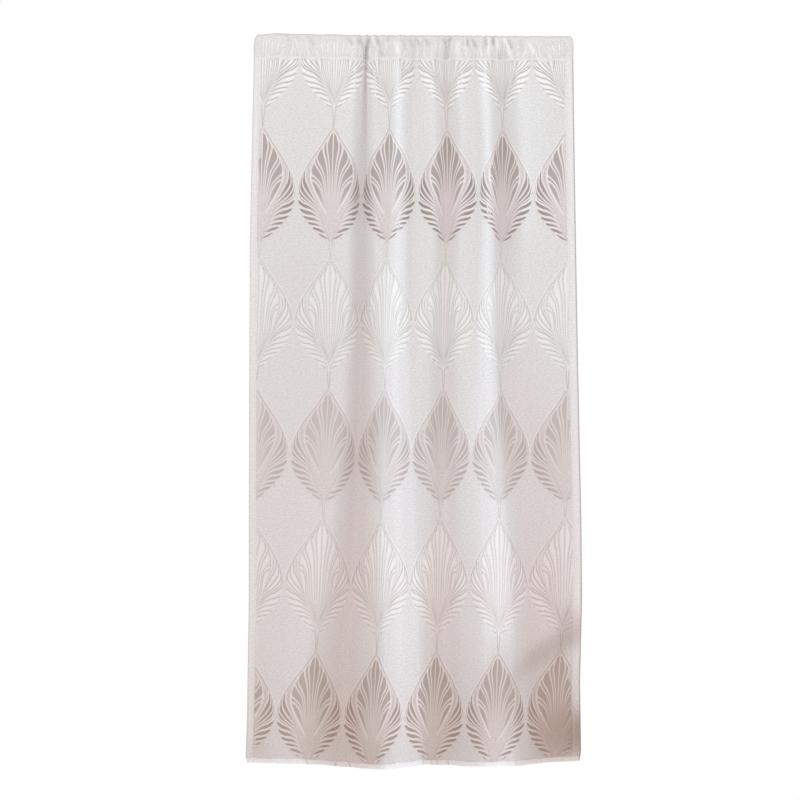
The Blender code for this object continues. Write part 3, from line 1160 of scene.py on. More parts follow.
    def outline_cords(self, row: LeafRow) -> list[Strip]:
        """The grey line of painted shadow around the right half's tip and the pale one outside it.

        The grey one starts as one side of the stem above the tip, and crosses its twin at the tip.

        Args:
            row: Which kind of row they are for.

        Returns:
            The lines.
        """
        edge = smooth_line(self.OUTLINE, self.EDGE_POINTS)
        around = edge[2 : np.searchsorted(edge[:, 1], self.tip_line_ends)]
        top = -self.stem_length(row)
        points = ((-0.0034, top), (-0.0026, -0.032), (-0.0016, -0.016), (0.0004, 0.001))
        stem = smooth_line(points, 30)
        halo = around - self.sideways(around) * self.halo_out
        return [
            self.cord(stem, self.STEM_LINE),
            self.cord(around, self.TIP_LINE),
            self.cord(halo[12:], self.TIP_HALO),
        ]

    def field_share(self, x: Array, y: Array) -> Array:
        """How far a spot lies inside the leaf's outline.

        Args:
            x: Out from the leaf's axis.
            y: Down from its tip.

        Returns:
            0 outside the leaf and 1 inside it.
        """
        out, down = np.array(self.OUTLINE).T
        half = np.interp(y, down, out, left=-self.outside, right=-self.outside)
        return 1 - ramp(-self.field_edge, self.field_edge, np.abs(x) - half)


# The colours of the cloth and its yarns


class DarkPatch(NamedTuple):
    """A soft darker, browner patch on the cloth, by its place, size and turn on the flat cloth."""

    across_mm: float
    drop_mm: float
    half_wide_mm: float
    half_long_mm: float
    turned: float
    colour: str
    share: float


class RowDye(NamedTuple):
    """The colours of one row: its blades, the net in its leaves, its cords and its grey lines of
    painted shadow.
    """

    blade: str
    inside: str
    cord: str
    line: str


@dataclass(frozen=True)
class ClothColours:
    """The sRGB colours of the cloth and its yarns, and how they change over the hung cloth."""

    ground: str = "e1e1e1"
    hem: str = "ebe9ea"
    # painted shade along the cloth's curled side edges
    curled_edge_shade: str = "aeacaa"
    halo: str = "efedec"
    heading: str = "e6e4e5"
    thread: str = "ffffff"
    hem_thread: str = "d5d0ce"
    # a crest takes its painted highlight in full from this far forward on, and a valley its painted
    # shade in full this far back
    crest_reach: float = 20 * MM
    crest_painted_highlight: tuple[float, float, float] = (0.112, 0.141, 0.172)
    crest_growth: float = 0.45
    # the folds are shallower under the rod, where the same light falls on them
    crest_reach_at_rod: float = 0.65
    deep_over: tuple[float, float] = (0.10, 0.26)
    valley_reach: float = 45 * MM
    valley_painted_shade: tuple[float, float, float] = (0.045, 0.090, 0.100)
    valley_growth: float = 0.9
    # the middle of a dark patch is even and its edge is soft, and a hem takes up less of it
    patch_edge: float = 1.4
    patch_power: float = 1.5
    hem_spared: float = 0.5
    foot_drop: float = 1.8
    # the yarns are dyed a little unevenly, so each row has its own; the last column is the painted
    # shadow of the grey lines
    ROWS = (
        RowDye("f7f6f6", "e6e6e5", "efedec", "b5afad"),
        RowDye("a9a09e", "dbd5d5", "ebe6e4", "bfbab8"),
        RowDye("f0f0ef", "e7e8e7", "efedec", "c6c4c1"),
        RowDye("c3bdbb", "dbd7d6", "e3dfde", "c4bfbd"),
        RowDye("f0eeee", "e6e5e4", "efedec", "c5c1bf"),
        RowDye("b3a8a2", "dad4d1", "eae5e3", "bfbab8"),
    )
    # the cloth grows deeper and warmer towards its foot: drop, red, green, blue
    DEEPENING = (
        (0.20, 1.000, 1.000, 1.000),
        (1.15, 0.972, 0.940, 0.944),
        (1.47, 0.955, 0.899, 0.899),
        (1.75, 0.860, 0.800, 0.785),
    )
    # soft darker, browner patches; the six at the lower right are painted shadow
    DARK_PATCHES = (
        DarkPatch(880, 1725, 88, 85, 0, "a38a7a", 0.62),
        DarkPatch(915, 1735, 32, 62, 0, "8f7768", 0.55),
        DarkPatch(832, 1520, 118, 34, -30, "a8948a", 0.42),
        DarkPatch(895, 1470, 45, 60, 0, "a8948a", 0.35),
        DarkPatch(855, 1600, 80, 75, 0, "b8a298", 0.20),
        DarkPatch(695, 1605, 62, 120, 0, "a8948a", 0.26),
        DarkPatch(30, 1765, 36, 26, -20, "c2ad98", 0.26),
        DarkPatch(330, 1765, 60, 30, 0, "b8a298", 0.18),
        DarkPatch(120, 1080, 175, 850, 0, "c9b8ae", 0.17),
    )

    def yarn(self, row: int, part: YarnPart) -> "YarnColours":
        """The colours of one part of the leaves in one row.

        Args:
            row: The number of the row.
            part: Which part of its leaves.

        Returns:
            The colours.
        """
        dye = self.ROWS[row]
        codes = {
            YarnPart.BLADE: dye.blade,
            YarnPart.CORD: dye.cord,
            YarnPart.LINE: dye.line,
            YarnPart.HALO: self.halo,
        }
        return YarnColours(linear(codes[part]), linear(dye.inside), self)

    def on_cloth(
        self, colours: Array, points: Array, flat: Array, kept: Array | float = 0.0
    ) -> Array:
        """Changes colours by their place on the hung cloth.

        Crests that stand forward take a painted highlight, and valleys back in a fold a painted
        shade, deeper and pinker.

        Args:
            colours: Linear colours.
            points: Where each of them hangs.
            flat: Where each of them is on the flat cloth.
            kept: How far each of them is kept from growing deeper towards the foot.

        Returns:
            The changed colours.
        """
        down = np.clip(flat[..., 1:2] / self.foot_drop, 0, 1)
        at_rod = self.crest_reach_at_rod
        reach = self.crest_reach * (at_rod + (1 - at_rod) * ramp(*self.deep_over, flat[..., 1:2]))
        crest = np.clip(-points[..., 1:2] / reach, 0, 1) ** 2 * (1 + self.crest_growth * down)
        valley = np.clip(points[..., 1:2] / self.valley_reach, 0, 1)
        valley = valley * (1 + self.valley_growth * down)
        # painted highlight on the crests and painted shade in the valleys
        folded = 1 + crest * np.array(self.crest_painted_highlight) - valley * np.array(self.valley_painted_shade)
        deeper = np.array(self.DEEPENING)
        by_drop = read_line(flat[..., 1], deeper[:, 0], deeper[:, 1:])
        kept = np.broadcast_to(kept, flat.shape[:-1])[..., None]
        by_drop = by_drop + (1 - by_drop) * kept
        changed = colours * folded * by_drop
        # lays the dark patches over the cloth; those at the lower right are painted shadow
        for dark_patch in self.DARK_PATCHES:
            x = flat[..., 0] - dark_patch.across_mm * MM
            y = flat[..., 1] - dark_patch.drop_mm * MM
            turn = math.radians(dark_patch.turned)
            u = (x * math.cos(turn) + y * math.sin(turn)) / (dark_patch.half_wide_mm * MM)
            v = (y * math.cos(turn) - x * math.sin(turn)) / (dark_patch.half_long_mm * MM)
            share = dark_patch.share * np.exp(-self.patch_edge * (u**2 + v**2) ** self.patch_power)
            share = share[..., None] * (1 - self.hem_spared * kept)
            changed = changed + (linear(dark_patch.colour) - changed) * share
        return changed


@dataclass(frozen=True)
class YarnColours:
    """The linear colour of a yarn, that of its leaf's ground, and the cloth that changes them."""

    own: Array
    ground: Array
    cloth: ClothColours


# The leaves on the cloth


class LeafPlace(NamedTuple):
    """One half of one leaf on the cloth: side is 1 for its right half and -1 for its left half."""

    row: int
    column: int
    side: int


class RowPlace(NamedTuple):
    """Where a row's leaves have their tips, and how long they are as a share of the motif."""

    tip_drop: float
    length_share: float


@dataclass(frozen=True)
class LeafRows:
    """The leaves in their rows. The pattern runs slightly askew to the cloth's own edges."""

    motif: LeafMotif = LeafMotif()
    pitch_across: float = 174.6 * MM
    columns: tuple[int, ...] = (-1, 0, 1, 2, 3, 4, 5)
    margin_left: float = 17 * MM
    margin_right: float = 21 * MM

    ROWS = (
        RowPlace(-0.090, 0.965),
        RowPlace(0.230, 1.000),
        RowPlace(0.552, 0.965),
        RowPlace(0.873, 0.990),
        RowPlace(1.192, 1.000),
        RowPlace(1.520, 0.985),
    )
    # how far the leaf at the left stands from the cloth's left edge, down the cloth
    OFFSET = (
        (0.000, 0.0265),
        (0.232, 0.0260),
        (0.505, 0.0243),
        (0.869, 0.0155),
        (1.152, 0.0060),
        (1.513, -0.0070),
        (1.690, -0.0170),
        (1.800, -0.0230),
    )
    # how far the soft net was pulled sideways, in mm: a row for each drop, which comes first in
    # it, and then a column for each place across
    SWAY_ACROSS = (0.00, 0.18, 0.355, 0.53, 0.70, 0.915)
    SWAY = (
        (0.20, 0, 0, 0, -4, 0, 0),
        (0.52, 0, 0, 0, -2, 0, 0),
        (0.85, 0, 5, 11, 7, 0, 0),
        (1.15, 0, 4, 7, 4, -14, 0),
        (1.45, 0, 2, 3, 2, -9, 0),
        (1.75, 0, 2, 1, 0, -4, 0),
    )

    def kind(self, row: int) -> LeafRow:
        """Rows take turns: white leaves, then taupe ones."""
        return LeafRow.TAUPE if row % 2 else LeafRow.WHITE

    def local(self, across: Array, drop: float) -> tuple[Array, Array, int]:
        """Where spots of the flat cloth lie on their nearest leaf.

        Args:
            across: Places across the flat cloth.
            drop: Their drop.

        Returns:
            Their distances from the leaf's axis and from its tip, and the number of its row.
        """
        shifted = (across - between(self.OFFSET, drop) - self.sway(across, drop)) / self.pitch_across
        x = (shifted - np.round(shifted)) * self.pitch_across
        row = sum(place.tip_drop <= drop for place in self.ROWS) - 1
        y = np.full_like(x, (drop - self.ROWS[row].tip_drop) / self.ROWS[row].length_share)
        return x, y, row

    def sway(self, across: Array, drop: Array | float) -> Array:
        """How far spots of the pattern are pulled sideways from their even places.

        Args:
            across: Places across the flat cloth.
            drop: Their drop.

        Returns:
            The distance at each place, towards the right edge.
        """
        table = np.array(self.SWAY)
        nearness = np.eye(len(self.SWAY_ACROSS))
        shares = zip(nearness, table[:, 1:].T)
        return MM * sum(
            np.interp(across, self.SWAY_ACROSS, near) * np.interp(drop, table[:, 0], pulls)
            for near, pulls in shares
        )

    def lay(
        self, mesh: SheetMesh, cloth: HungCloth, strip: Strip, place: LeafPlace, colours: YarnColours
    ) -> None:
        """Lays one strip of a leaf into the hung cloth, so that it stands out on both faces.

        Args:
            mesh: The mesh that takes it.
            cloth: The hung cloth.
            strip: The strip on the flat leaf.
            place: Which leaf it is in, and in which half of it.
            colours: The yarn's colour and that of the leaf's ground, and how the cloth changes them.
        """
        left, right = (strip.left, strip.right) if place.side > 0 else (strip.right, strip.left)
        t = np.linspace(0, 1, 5 if strip.part is YarnPart.BLADE else 3)
        lines = left[:, None] * (1 - t)[:, None] + right[:, None] * t[:, None]
        row = self.ROWS[place.row]
        drop = row.tip_drop + lines[..., 1] * np.where(lines[..., 1] > 0, row.length_share, 1)
        axis = between(self.OFFSET, drop) + place.column * self.pitch_across
        across = axis + place.side * lines[..., 0]
        across = across + self.sway(across, drop)
        inside = (across > self.margin_left) & (across < cloth.across[-1] - self.margin_right)
        inside &= (drop > cloth.pattern_from) & (drop < cloth.pattern_to)
        kept = np.flatnonzero(inside.all(axis=1))
        run = max(np.split(kept, np.flatnonzero(np.diff(kept) > 1) + 1), key=len)
        if len(run) < 2:
            return
        across, drop = across[run], drop[run]
        low = self.motif.edge_rise
        bowed = low + (strip.rise - low) * np.sin(t * math.pi)
        rise = np.broadcast_to(bowed, across.shape)
        front = cloth.place(across, drop, rise)
        back = cloth.place(across, drop, -rise)
        ring = np.concatenate([front, back[:, ::-1]], axis=1)
        flat = np.stack([across, drop], axis=-1)
        flat = np.concatenate([flat, flat[:, ::-1]], axis=1)
        fade = np.maximum(strip.fade[run], cloth.least_fade)[:, None, None]
        own = np.broadcast_to(colours.own * (1 - fade) + colours.ground * fade, ring.shape)
        mesh.add_rows(ring, flat, colours.cloth.on_cloth(own, ring, flat), around=True, capped=True)


# Finishes


@dataclass(frozen=True)
class Finish:
    """A plain matt finish, from which the others start."""

    name: str
    roughness: float = 0.9
    sheen: float = 0.0
    sheen_roughness: float = 0.5
    specular: float = 0.5

    def start(self) -> tuple[bpy.types.Material, bpy.types.Node]:
        """Starts the material with the values that are even all over it.

        Returns:
            The material and its shader.
        """
        made = bpy.data.materials.new(self.name)
        made.use_nodes = True
        shader = made.node_tree.nodes["Principled BSDF"]
        shader.inputs["Roughness"].default_value = self.roughness
        shader.inputs["Sheen Weight"].default_value = self.sheen
        shader.inputs["Sheen Roughness"].default_value = self.sheen_roughness
        shader.inputs["Specular IOR Level"].default_value = self.specular
        return made, shader


@dataclass(frozen=True)
class YarnFinish(Finish):
    """Polyester yarn, shaded and roughened by a fine relief. Its colour comes from the mesh.

    It is darker by the shading where the relief is low, and brighter by as much where it is high.
    """

    low: float = 0.3
    high: float = 0.7
    shading: float = 0.05
    bump_strength: float = 0.5
    bump_depth: float = 0.12 * MM

    def dress(
        self, tree: bpy.types.NodeTree, shader: bpy.types.Node, relief: bpy.types.NodeSocket
    ) -> None:
        """Shades and roughens the yarn.

        Args:
            tree: The material's node tree.
            shader: Its shader.
            relief: The relief, from about 0 to 1.
        """
        limits = {1: self.low, 2: self.high, 3: 1 - self.shading, 4: 1 + self.shading}
        shade = add_node(tree, "ShaderNodeMapRange", {0: relief, **limits})
        yarn = add_node(tree, "ShaderNodeVertexColor", layer_name=SheetMesh.COLOUR)
        scaled = {0: yarn.outputs["Color"], "Scale": shade.outputs[0]}
        tinted = add_node(tree, "ShaderNodeVectorMath", scaled, operation="SCALE")
        raised = {"Strength": self.bump_strength, "Distance": self.bump_depth, "Height": relief}
        bump = add_node(tree, "ShaderNodeBump", raised)
        tree.links.new(tinted.outputs[0], shader.inputs["Base Color"])
        tree.links.new(bump.outputs[0], shader.inputs["Normal"])


@dataclass(frozen=True)
class KnittedNet(YarnFinish):
    """Warp-knitted polyester net: matt, a little fuzzy, with fine upright wales and small meshes.

    The real meshes are about 1 mm apart. They are drawn 3 mm apart here, so that they show. Between
    them the yarn is thicker in some courses than in others, which gives a pebbly grain.
    """

    name: str = "knitted_net"
    roughness: float = 0.88
    sheen: float = 0.12
    sheen_roughness: float = 0.6
    specular: float = 0.25
    low: float = 0.25
    high: float = 0.75
    shading: float = 0.13
    bump_strength: float = 0.6
    bump_depth: float = 0.40 * MM
    wale_pitch: float = 3.0 * MM
    course_pitch: float = 3.6 * MM
    # how much the regular meshes add to the grain
    mesh_share: float = 0.12
    grain: float = 3.6 * MM
    # the grain is longer along a course than down a wale
    grain_stretch: tuple[float, float, float] = (0.55, 1.0, 1.0)

    def material(self) -> bpy.types.Material:
        """Makes the material, whose weave follows the flat cloth.

        Returns:
            The material.
        """
        made, shader = self.start()
        tree = made.node_tree
        flat = add_node(tree, "ShaderNodeUVMap", uv_map=SheetMesh.FLAT_MAP).outputs["UV"]
        spots = add_node(tree, "ShaderNodeSeparateXYZ", {0: flat})
        waves = {}
        for key, output, pitch in ((0, "X", self.wale_pitch), (1, "Y", self.course_pitch)):
            turns = {0: spots.outputs[output], 1: math.tau / pitch}
            turned = add_node(tree, "ShaderNodeMath", turns, operation="MULTIPLY")
            wave = add_node(tree, "ShaderNodeMath", {0: turned.outputs[0]}, operation="SINE")
            waves[key] = wave.outputs[0]
        meshes = add_node(tree, "ShaderNodeMath", waves, operation="MULTIPLY")
        stretch = {0: flat, 1: self.grain_stretch}
        stretched = add_node(tree, "ShaderNodeVectorMath", stretch, operation="MULTIPLY")
        grain = {"Scale": 1 / self.grain, "Detail": 2.0, "Roughness": 0.65}
        spread = {"Vector": stretched.outputs[0], **grain}
        pebbles = add_node(tree, "ShaderNodeTexNoise", spread)
        summed = {0: meshes.outputs[0], 1: self.mesh_share, 2: pebbles.outputs["Fac"]}
        relief = add_node(tree, "ShaderNodeMath", summed, operation="MULTIPLY_ADD")
        self.dress(tree, shader, relief.outputs[0])
        return made


@dataclass(frozen=True)
class LaidYarn(YarnFinish):
    """Thicker polyester yarn laid into the net: a soft twist along it, and a slight silky sheen."""

    roughness: float = 0.72
    sheen: float = 0.2
    specular: float = 0.3
    twist_pitch: float = 2.6 * MM

    def material(self) -> bpy.types.Material:
        """Makes the material.

        Returns:
            The material.
        """
        made, shader = self.start()
        tree = made.node_tree
        flat = add_node(tree, "ShaderNodeUVMap", uv_map=SheetMesh.FLAT_MAP).outputs["UV"]
        twist = {"Vector": flat, "Scale": 1 / self.twist_pitch, "Detail": 2.0}
        relief = add_node(tree, "ShaderNodeTexNoise", twist).outputs["Fac"]
        self.dress(tree, shader, relief)
        return made


@dataclass(frozen=True)
class StudioPaper(Finish):
    """Smooth matt background paper, without any pattern."""

    name: str = "studio_paper"
    colour: str = "f4f3f1"

    def material(self) -> bpy.types.Material:
        """Makes the material.

        Returns:
            The material.
        """
        made, shader = self.start()
        shader.inputs["Base Color"].default_value = (*linear(self.colour), 1)
        return made


# The curtain's pieces


@dataclass
class CurtainPanel:
    """The panel below the stitched line, with its side hems and bottom hem."""

    drape: Drape
    rows: LeafRows
    colours: ClothColours
    half_thickness: float = 0.4 * MM
    left_hem: float = 16 * MM
    right_hem: float = 20 * MM
    bottom_hem: float = 11 * MM
    hem_step: float = 1.4 * MM
    hem_extra: float = 0.8 * MM
    # a hem stands out at the back by its extra thickness, and at the front by this share of it
    hem_at_front: float = 0.25
    # how far the hems are kept from growing deeper in colour towards the foot
    side_hem_kept: float = 0.15
    bottom_hem_kept: float = 0.85
    # the cloth's right edge curls back a little, so it takes a darker painted shade than the left one
    left_curl: tuple[float, float] = (1.4 * MM, 3.0 * MM)
    right_curl: tuple[float, float] = (1.9 * MM, 3.9 * MM)
    left_curl_share: float = 0.3
    seam_gap: float = 0.3 * MM
    gathered_step: float = 2.9 * MM
    plain_step: float = 5.0 * MM
    least_step: float = 0.9 * MM
    row_step: float = 13 * MM
    top_row_step: float = 7 * MM
    # the drop from which on the rows are further apart
    coarse_from: float = 0.30
    shadow: str = "94857e"
    shadow_half: float = 1.2 * MM
    pleat_half: float = 1.3 * MM

    # where the bottom hem was folded over itself in sewing: place across, lean, share of shadow
    PLEATS = (
        (0.150, 2.5 * MM, 0.55),
        (0.229, -4.0 * MM, 0.75),
        (0.266, 4.0 * MM, 0.65),
        (0.478, -2.5 * MM, 0.45),
        (0.503, 4.5 * MM, 0.50),
        (0.521, -2.0 * MM, 0.45),
        (0.551, 1.5 * MM, 0.60),
        (0.735, 3.0 * MM, 0.35),
    )

    @property
    def hem_top(self) -> float:
        """The drop of the bottom hem's upper edge."""
        return self.drape.length - self.bottom_hem

    def hang(self) -> HungCloth:
        """Lays out the grid of the cloth, with a line at each edge of each hem, and hangs it.

        Returns:
            The hung cloth.
        """
        across = self.drape.columns(self.gathered_step, self.plain_step)
        width = self.drape.flat_width
        left = [self.left_hem, self.left_hem + self.hem_step]
        right = [width - self.right_hem - self.hem_step, width - self.right_hem]
        steps = (-self.pleat_half, 0, self.pleat_half)
        pleats = [place + step for (place, _, _), step in product(self.PLEATS, steps)]
        # the last three are where the painted shade of the curled edges ends
        hems = [*left, *right, *pleats, 1.5 * MM, width - 1.5 * MM, width - 3.5 * MM]
        across = np.unique(np.round(np.concatenate([across, hems]), 6))
        across = across[np.concatenate([[True], np.diff(across) > self.least_step])]
        start = self.drape.seam_drop + self.seam_gap
        upper = np.arange(start, self.coarse_from, self.top_row_step)
        over_hem = self.hem_top - self.hem_step
        rows = round((self.hem_top - self.coarse_from) / self.row_step)
        lower = np.linspace(self.coarse_from, over_hem - 2 * MM, rows)
        on_hem = [over_hem, self.hem_top, self.hem_top + self.bottom_hem / 2]
        foot = [self.drape.length - MM, self.drape.length]
        drops = np.concatenate([upper, lower, on_hem, foot])
        return HungCloth.from_drape(self.drape, across, drops)

    def hem_share(self, across: Array, drop: float) -> Array:
        """How far spots of the cloth lie in a hem: 1 on a hem and 0 on the single cloth.

        Args:
            across: Places across the flat cloth.
            drop: Their drop.

        Returns:
            The shares.
        """
        left = 1 - ramp(self.left_hem, self.left_hem + self.hem_step, across)
        from_right = self.drape.flat_width - across
        right = 1 - ramp(self.right_hem, self.right_hem + self.hem_step, from_right)
        bottom = ramp(self.hem_top - self.hem_step, self.hem_top, drop)
        return np.maximum(np.maximum(left, right), bottom)

    def colour_row(self, across: Array, drop: float) -> Array:
        """The cloth's colour along one row.

        Args:
            across: Places across the flat cloth.
            drop: Their drop.

        Returns:
            A linear colour for each place.
        """
        c = self.colours
        colour = np.broadcast_to(linear(c.ground), (len(across), 3))
        x, y, row = self.rows.local(across, drop)
        leaf = linear(c.ROWS[row].inside)
        # painted shade along the curled side edges, more on the right
        right_edge_shade = 1 - ramp(*self.right_curl, self.drape.flat_width - across)
        left_edge_shade = self.left_curl_share * (1 - ramp(*self.left_curl, across))
        edge = np.maximum(right_edge_shade, left_edge_shade)
        for share, tone in (
            (self.rows.motif.field_share(x, y), leaf),
            (self.hem_share(across, drop), linear(c.hem)),
            (edge, linear(c.curled_edge_shade)),
            (self.shadow_share(across, drop), linear(self.shadow)),
        ):
            colour = colour + (tone - colour) * share[:, None]
        return colour

    def shadow_share(self, across: Array, drop: float) -> Array:
        """How far spots lie in the shadow over the bottom hem or beside one of its pleats.

        Args:
            across: Places across the flat cloth.
            drop: Their drop.

        Returns:
            The shares.
        """
        below = drop - self.hem_top
        over_hem = math.exp(-(((below + self.hem_step) / self.shadow_half) ** 2))
        uneven = 0.14 + 0.14 * np.sin(across * 41) + 0.12 * np.sin(across * 113 + 2)
        share = over_hem * np.maximum(uneven, 0)
        down = below / self.bottom_hem
        if down > -0.2:
            for place, lean, dark in self.PLEATS:
                off = (across - place - lean * (down - 0.5)) / self.pleat_half
                share = np.maximum(share, dark * np.exp(-(off**2)))
        return share

    def build(self, cloth: HungCloth, material: bpy.types.Material) -> bpy.types.Object:
        """Makes the panel as one closed cloth.

        Args:
            cloth: The hung cloth.
            material: Its finish.

        Returns:
            The panel.
        """
        across, drop = np.meshgrid(cloth.across, cloth.drops)
        hem = np.array([self.hem_share(cloth.across, d) for d in cloth.drops])
        colours = np.array([self.colour_row(cloth.across, d) for d in cloth.drops])
        flat = np.stack([across, drop], axis=-1)
        # the bottom hem is two layers thicker and stays whiter than the side hems
        bottom = ramp(self.hem_top - self.hem_step, self.hem_top, drop)
        kept = np.maximum(self.side_hem_kept * hem, self.bottom_hem_kept * bottom)
        colours = self.colours.on_cloth(colours, cloth.points, flat, kept)
        to_front = self.half_thickness + self.hem_at_front * self.hem_extra * hem
        to_back = self.half_thickness + self.hem_extra * hem
        front = cloth.points + cloth.fronts * to_front[..., None]
        back = cloth.points - cloth.fronts * to_back[..., None]
        mesh = SheetMesh()
        front_ids = mesh.add_rows(front, flat, colours, around=False)
        back_ids = mesh.add_rows(back[:, ::-1], flat[:, ::-1], colours[:, ::-1], around=False)
        mesh.join(self.rim(back_ids[:, ::-1]), self.rim(front_ids))
        return mesh.make("curtain_panel", material)

    @staticmethod
    def rim(ids: Array) -> Array:
        """The point numbers around a sheet's edge, in order."""
        return np.concatenate([ids[0], ids[1:-1, -1], ids[-1, ::-1], ids[-2:0:-1, 0]])


@dataclass
class LeafPattern:
    """The leaves laid into the net: blades of taupe or pale yarn, raised cords, and grey lines of
    painted shadow.
    """

    rows: LeafRows
    colours: ClothColours

    def build(self, cloths: list[HungCloth]) -> list[bpy.types.Object]:
        """Makes the pattern's pieces.

        Args:
            cloths: The hung panel and the front of the heading, over which the pattern runs on.

        Returns:
            The taupe blades, the white blades, the pale cords and the grey lines of painted shadow.
        """
        motif = self.rows.motif
        # the fourth mesh takes the grey lines of painted shadow beside the cords
        taupe_blades, white_blades, pale_cords, painted_shadow_lines = (SheetMesh() for _ in range(4))
        for row in range(len(self.rows.ROWS)):
            kind = self.rows.kind(row)
            meshes = {
                YarnPart.BLADE: taupe_blades if kind is LeafRow.TAUPE else white_blades,
                YarnPart.CORD: pale_cords,
                YarnPart.LINE: painted_shadow_lines,
                YarnPart.HALO: pale_cords,
            }
            colours = {part: self.colours.yarn(row, part) for part in YarnPart}
            half = motif.cords(kind) + motif.outline_cords(kind) + motif.blades(kind)
            halves = ((-1, half), (1, half), (1, motif.axis_cords(kind)))
            for column, (side, strips) in product(self.rows.columns, halves):
                place = LeafPlace(row, column, side)
                for strip, cloth in product(strips, cloths):
                    part = strip.part
                    self.rows.lay(meshes[part], cloth, strip, place, colours[part])
        return [
            taupe_blades.make("taupe_leaf_blades", LaidYarn("taupe_yarn").material()),
            white_blades.make("white_leaf_blades", LaidYarn("white_yarn").material()),
            pale_cords.make("pale_leaf_cords", LaidYarn("pale_cord_yarn").material()),
            painted_shadow_lines.make("painted_shadow_leaf_lines", LaidYarn("painted_shadow_line_yarn").material()),
        ]


class Crease(NamedTuple):
    """A soft trough or ridge on the front of the heading, from its upper end to its lower end.

    Places are in millimetres along the rod and down from the heading's top, and rise is below zero
    for a trough.
    """

    top_along: float
    top_drop: float
    foot_along: float
    foot_drop: float
    half_width: float
    rise: float


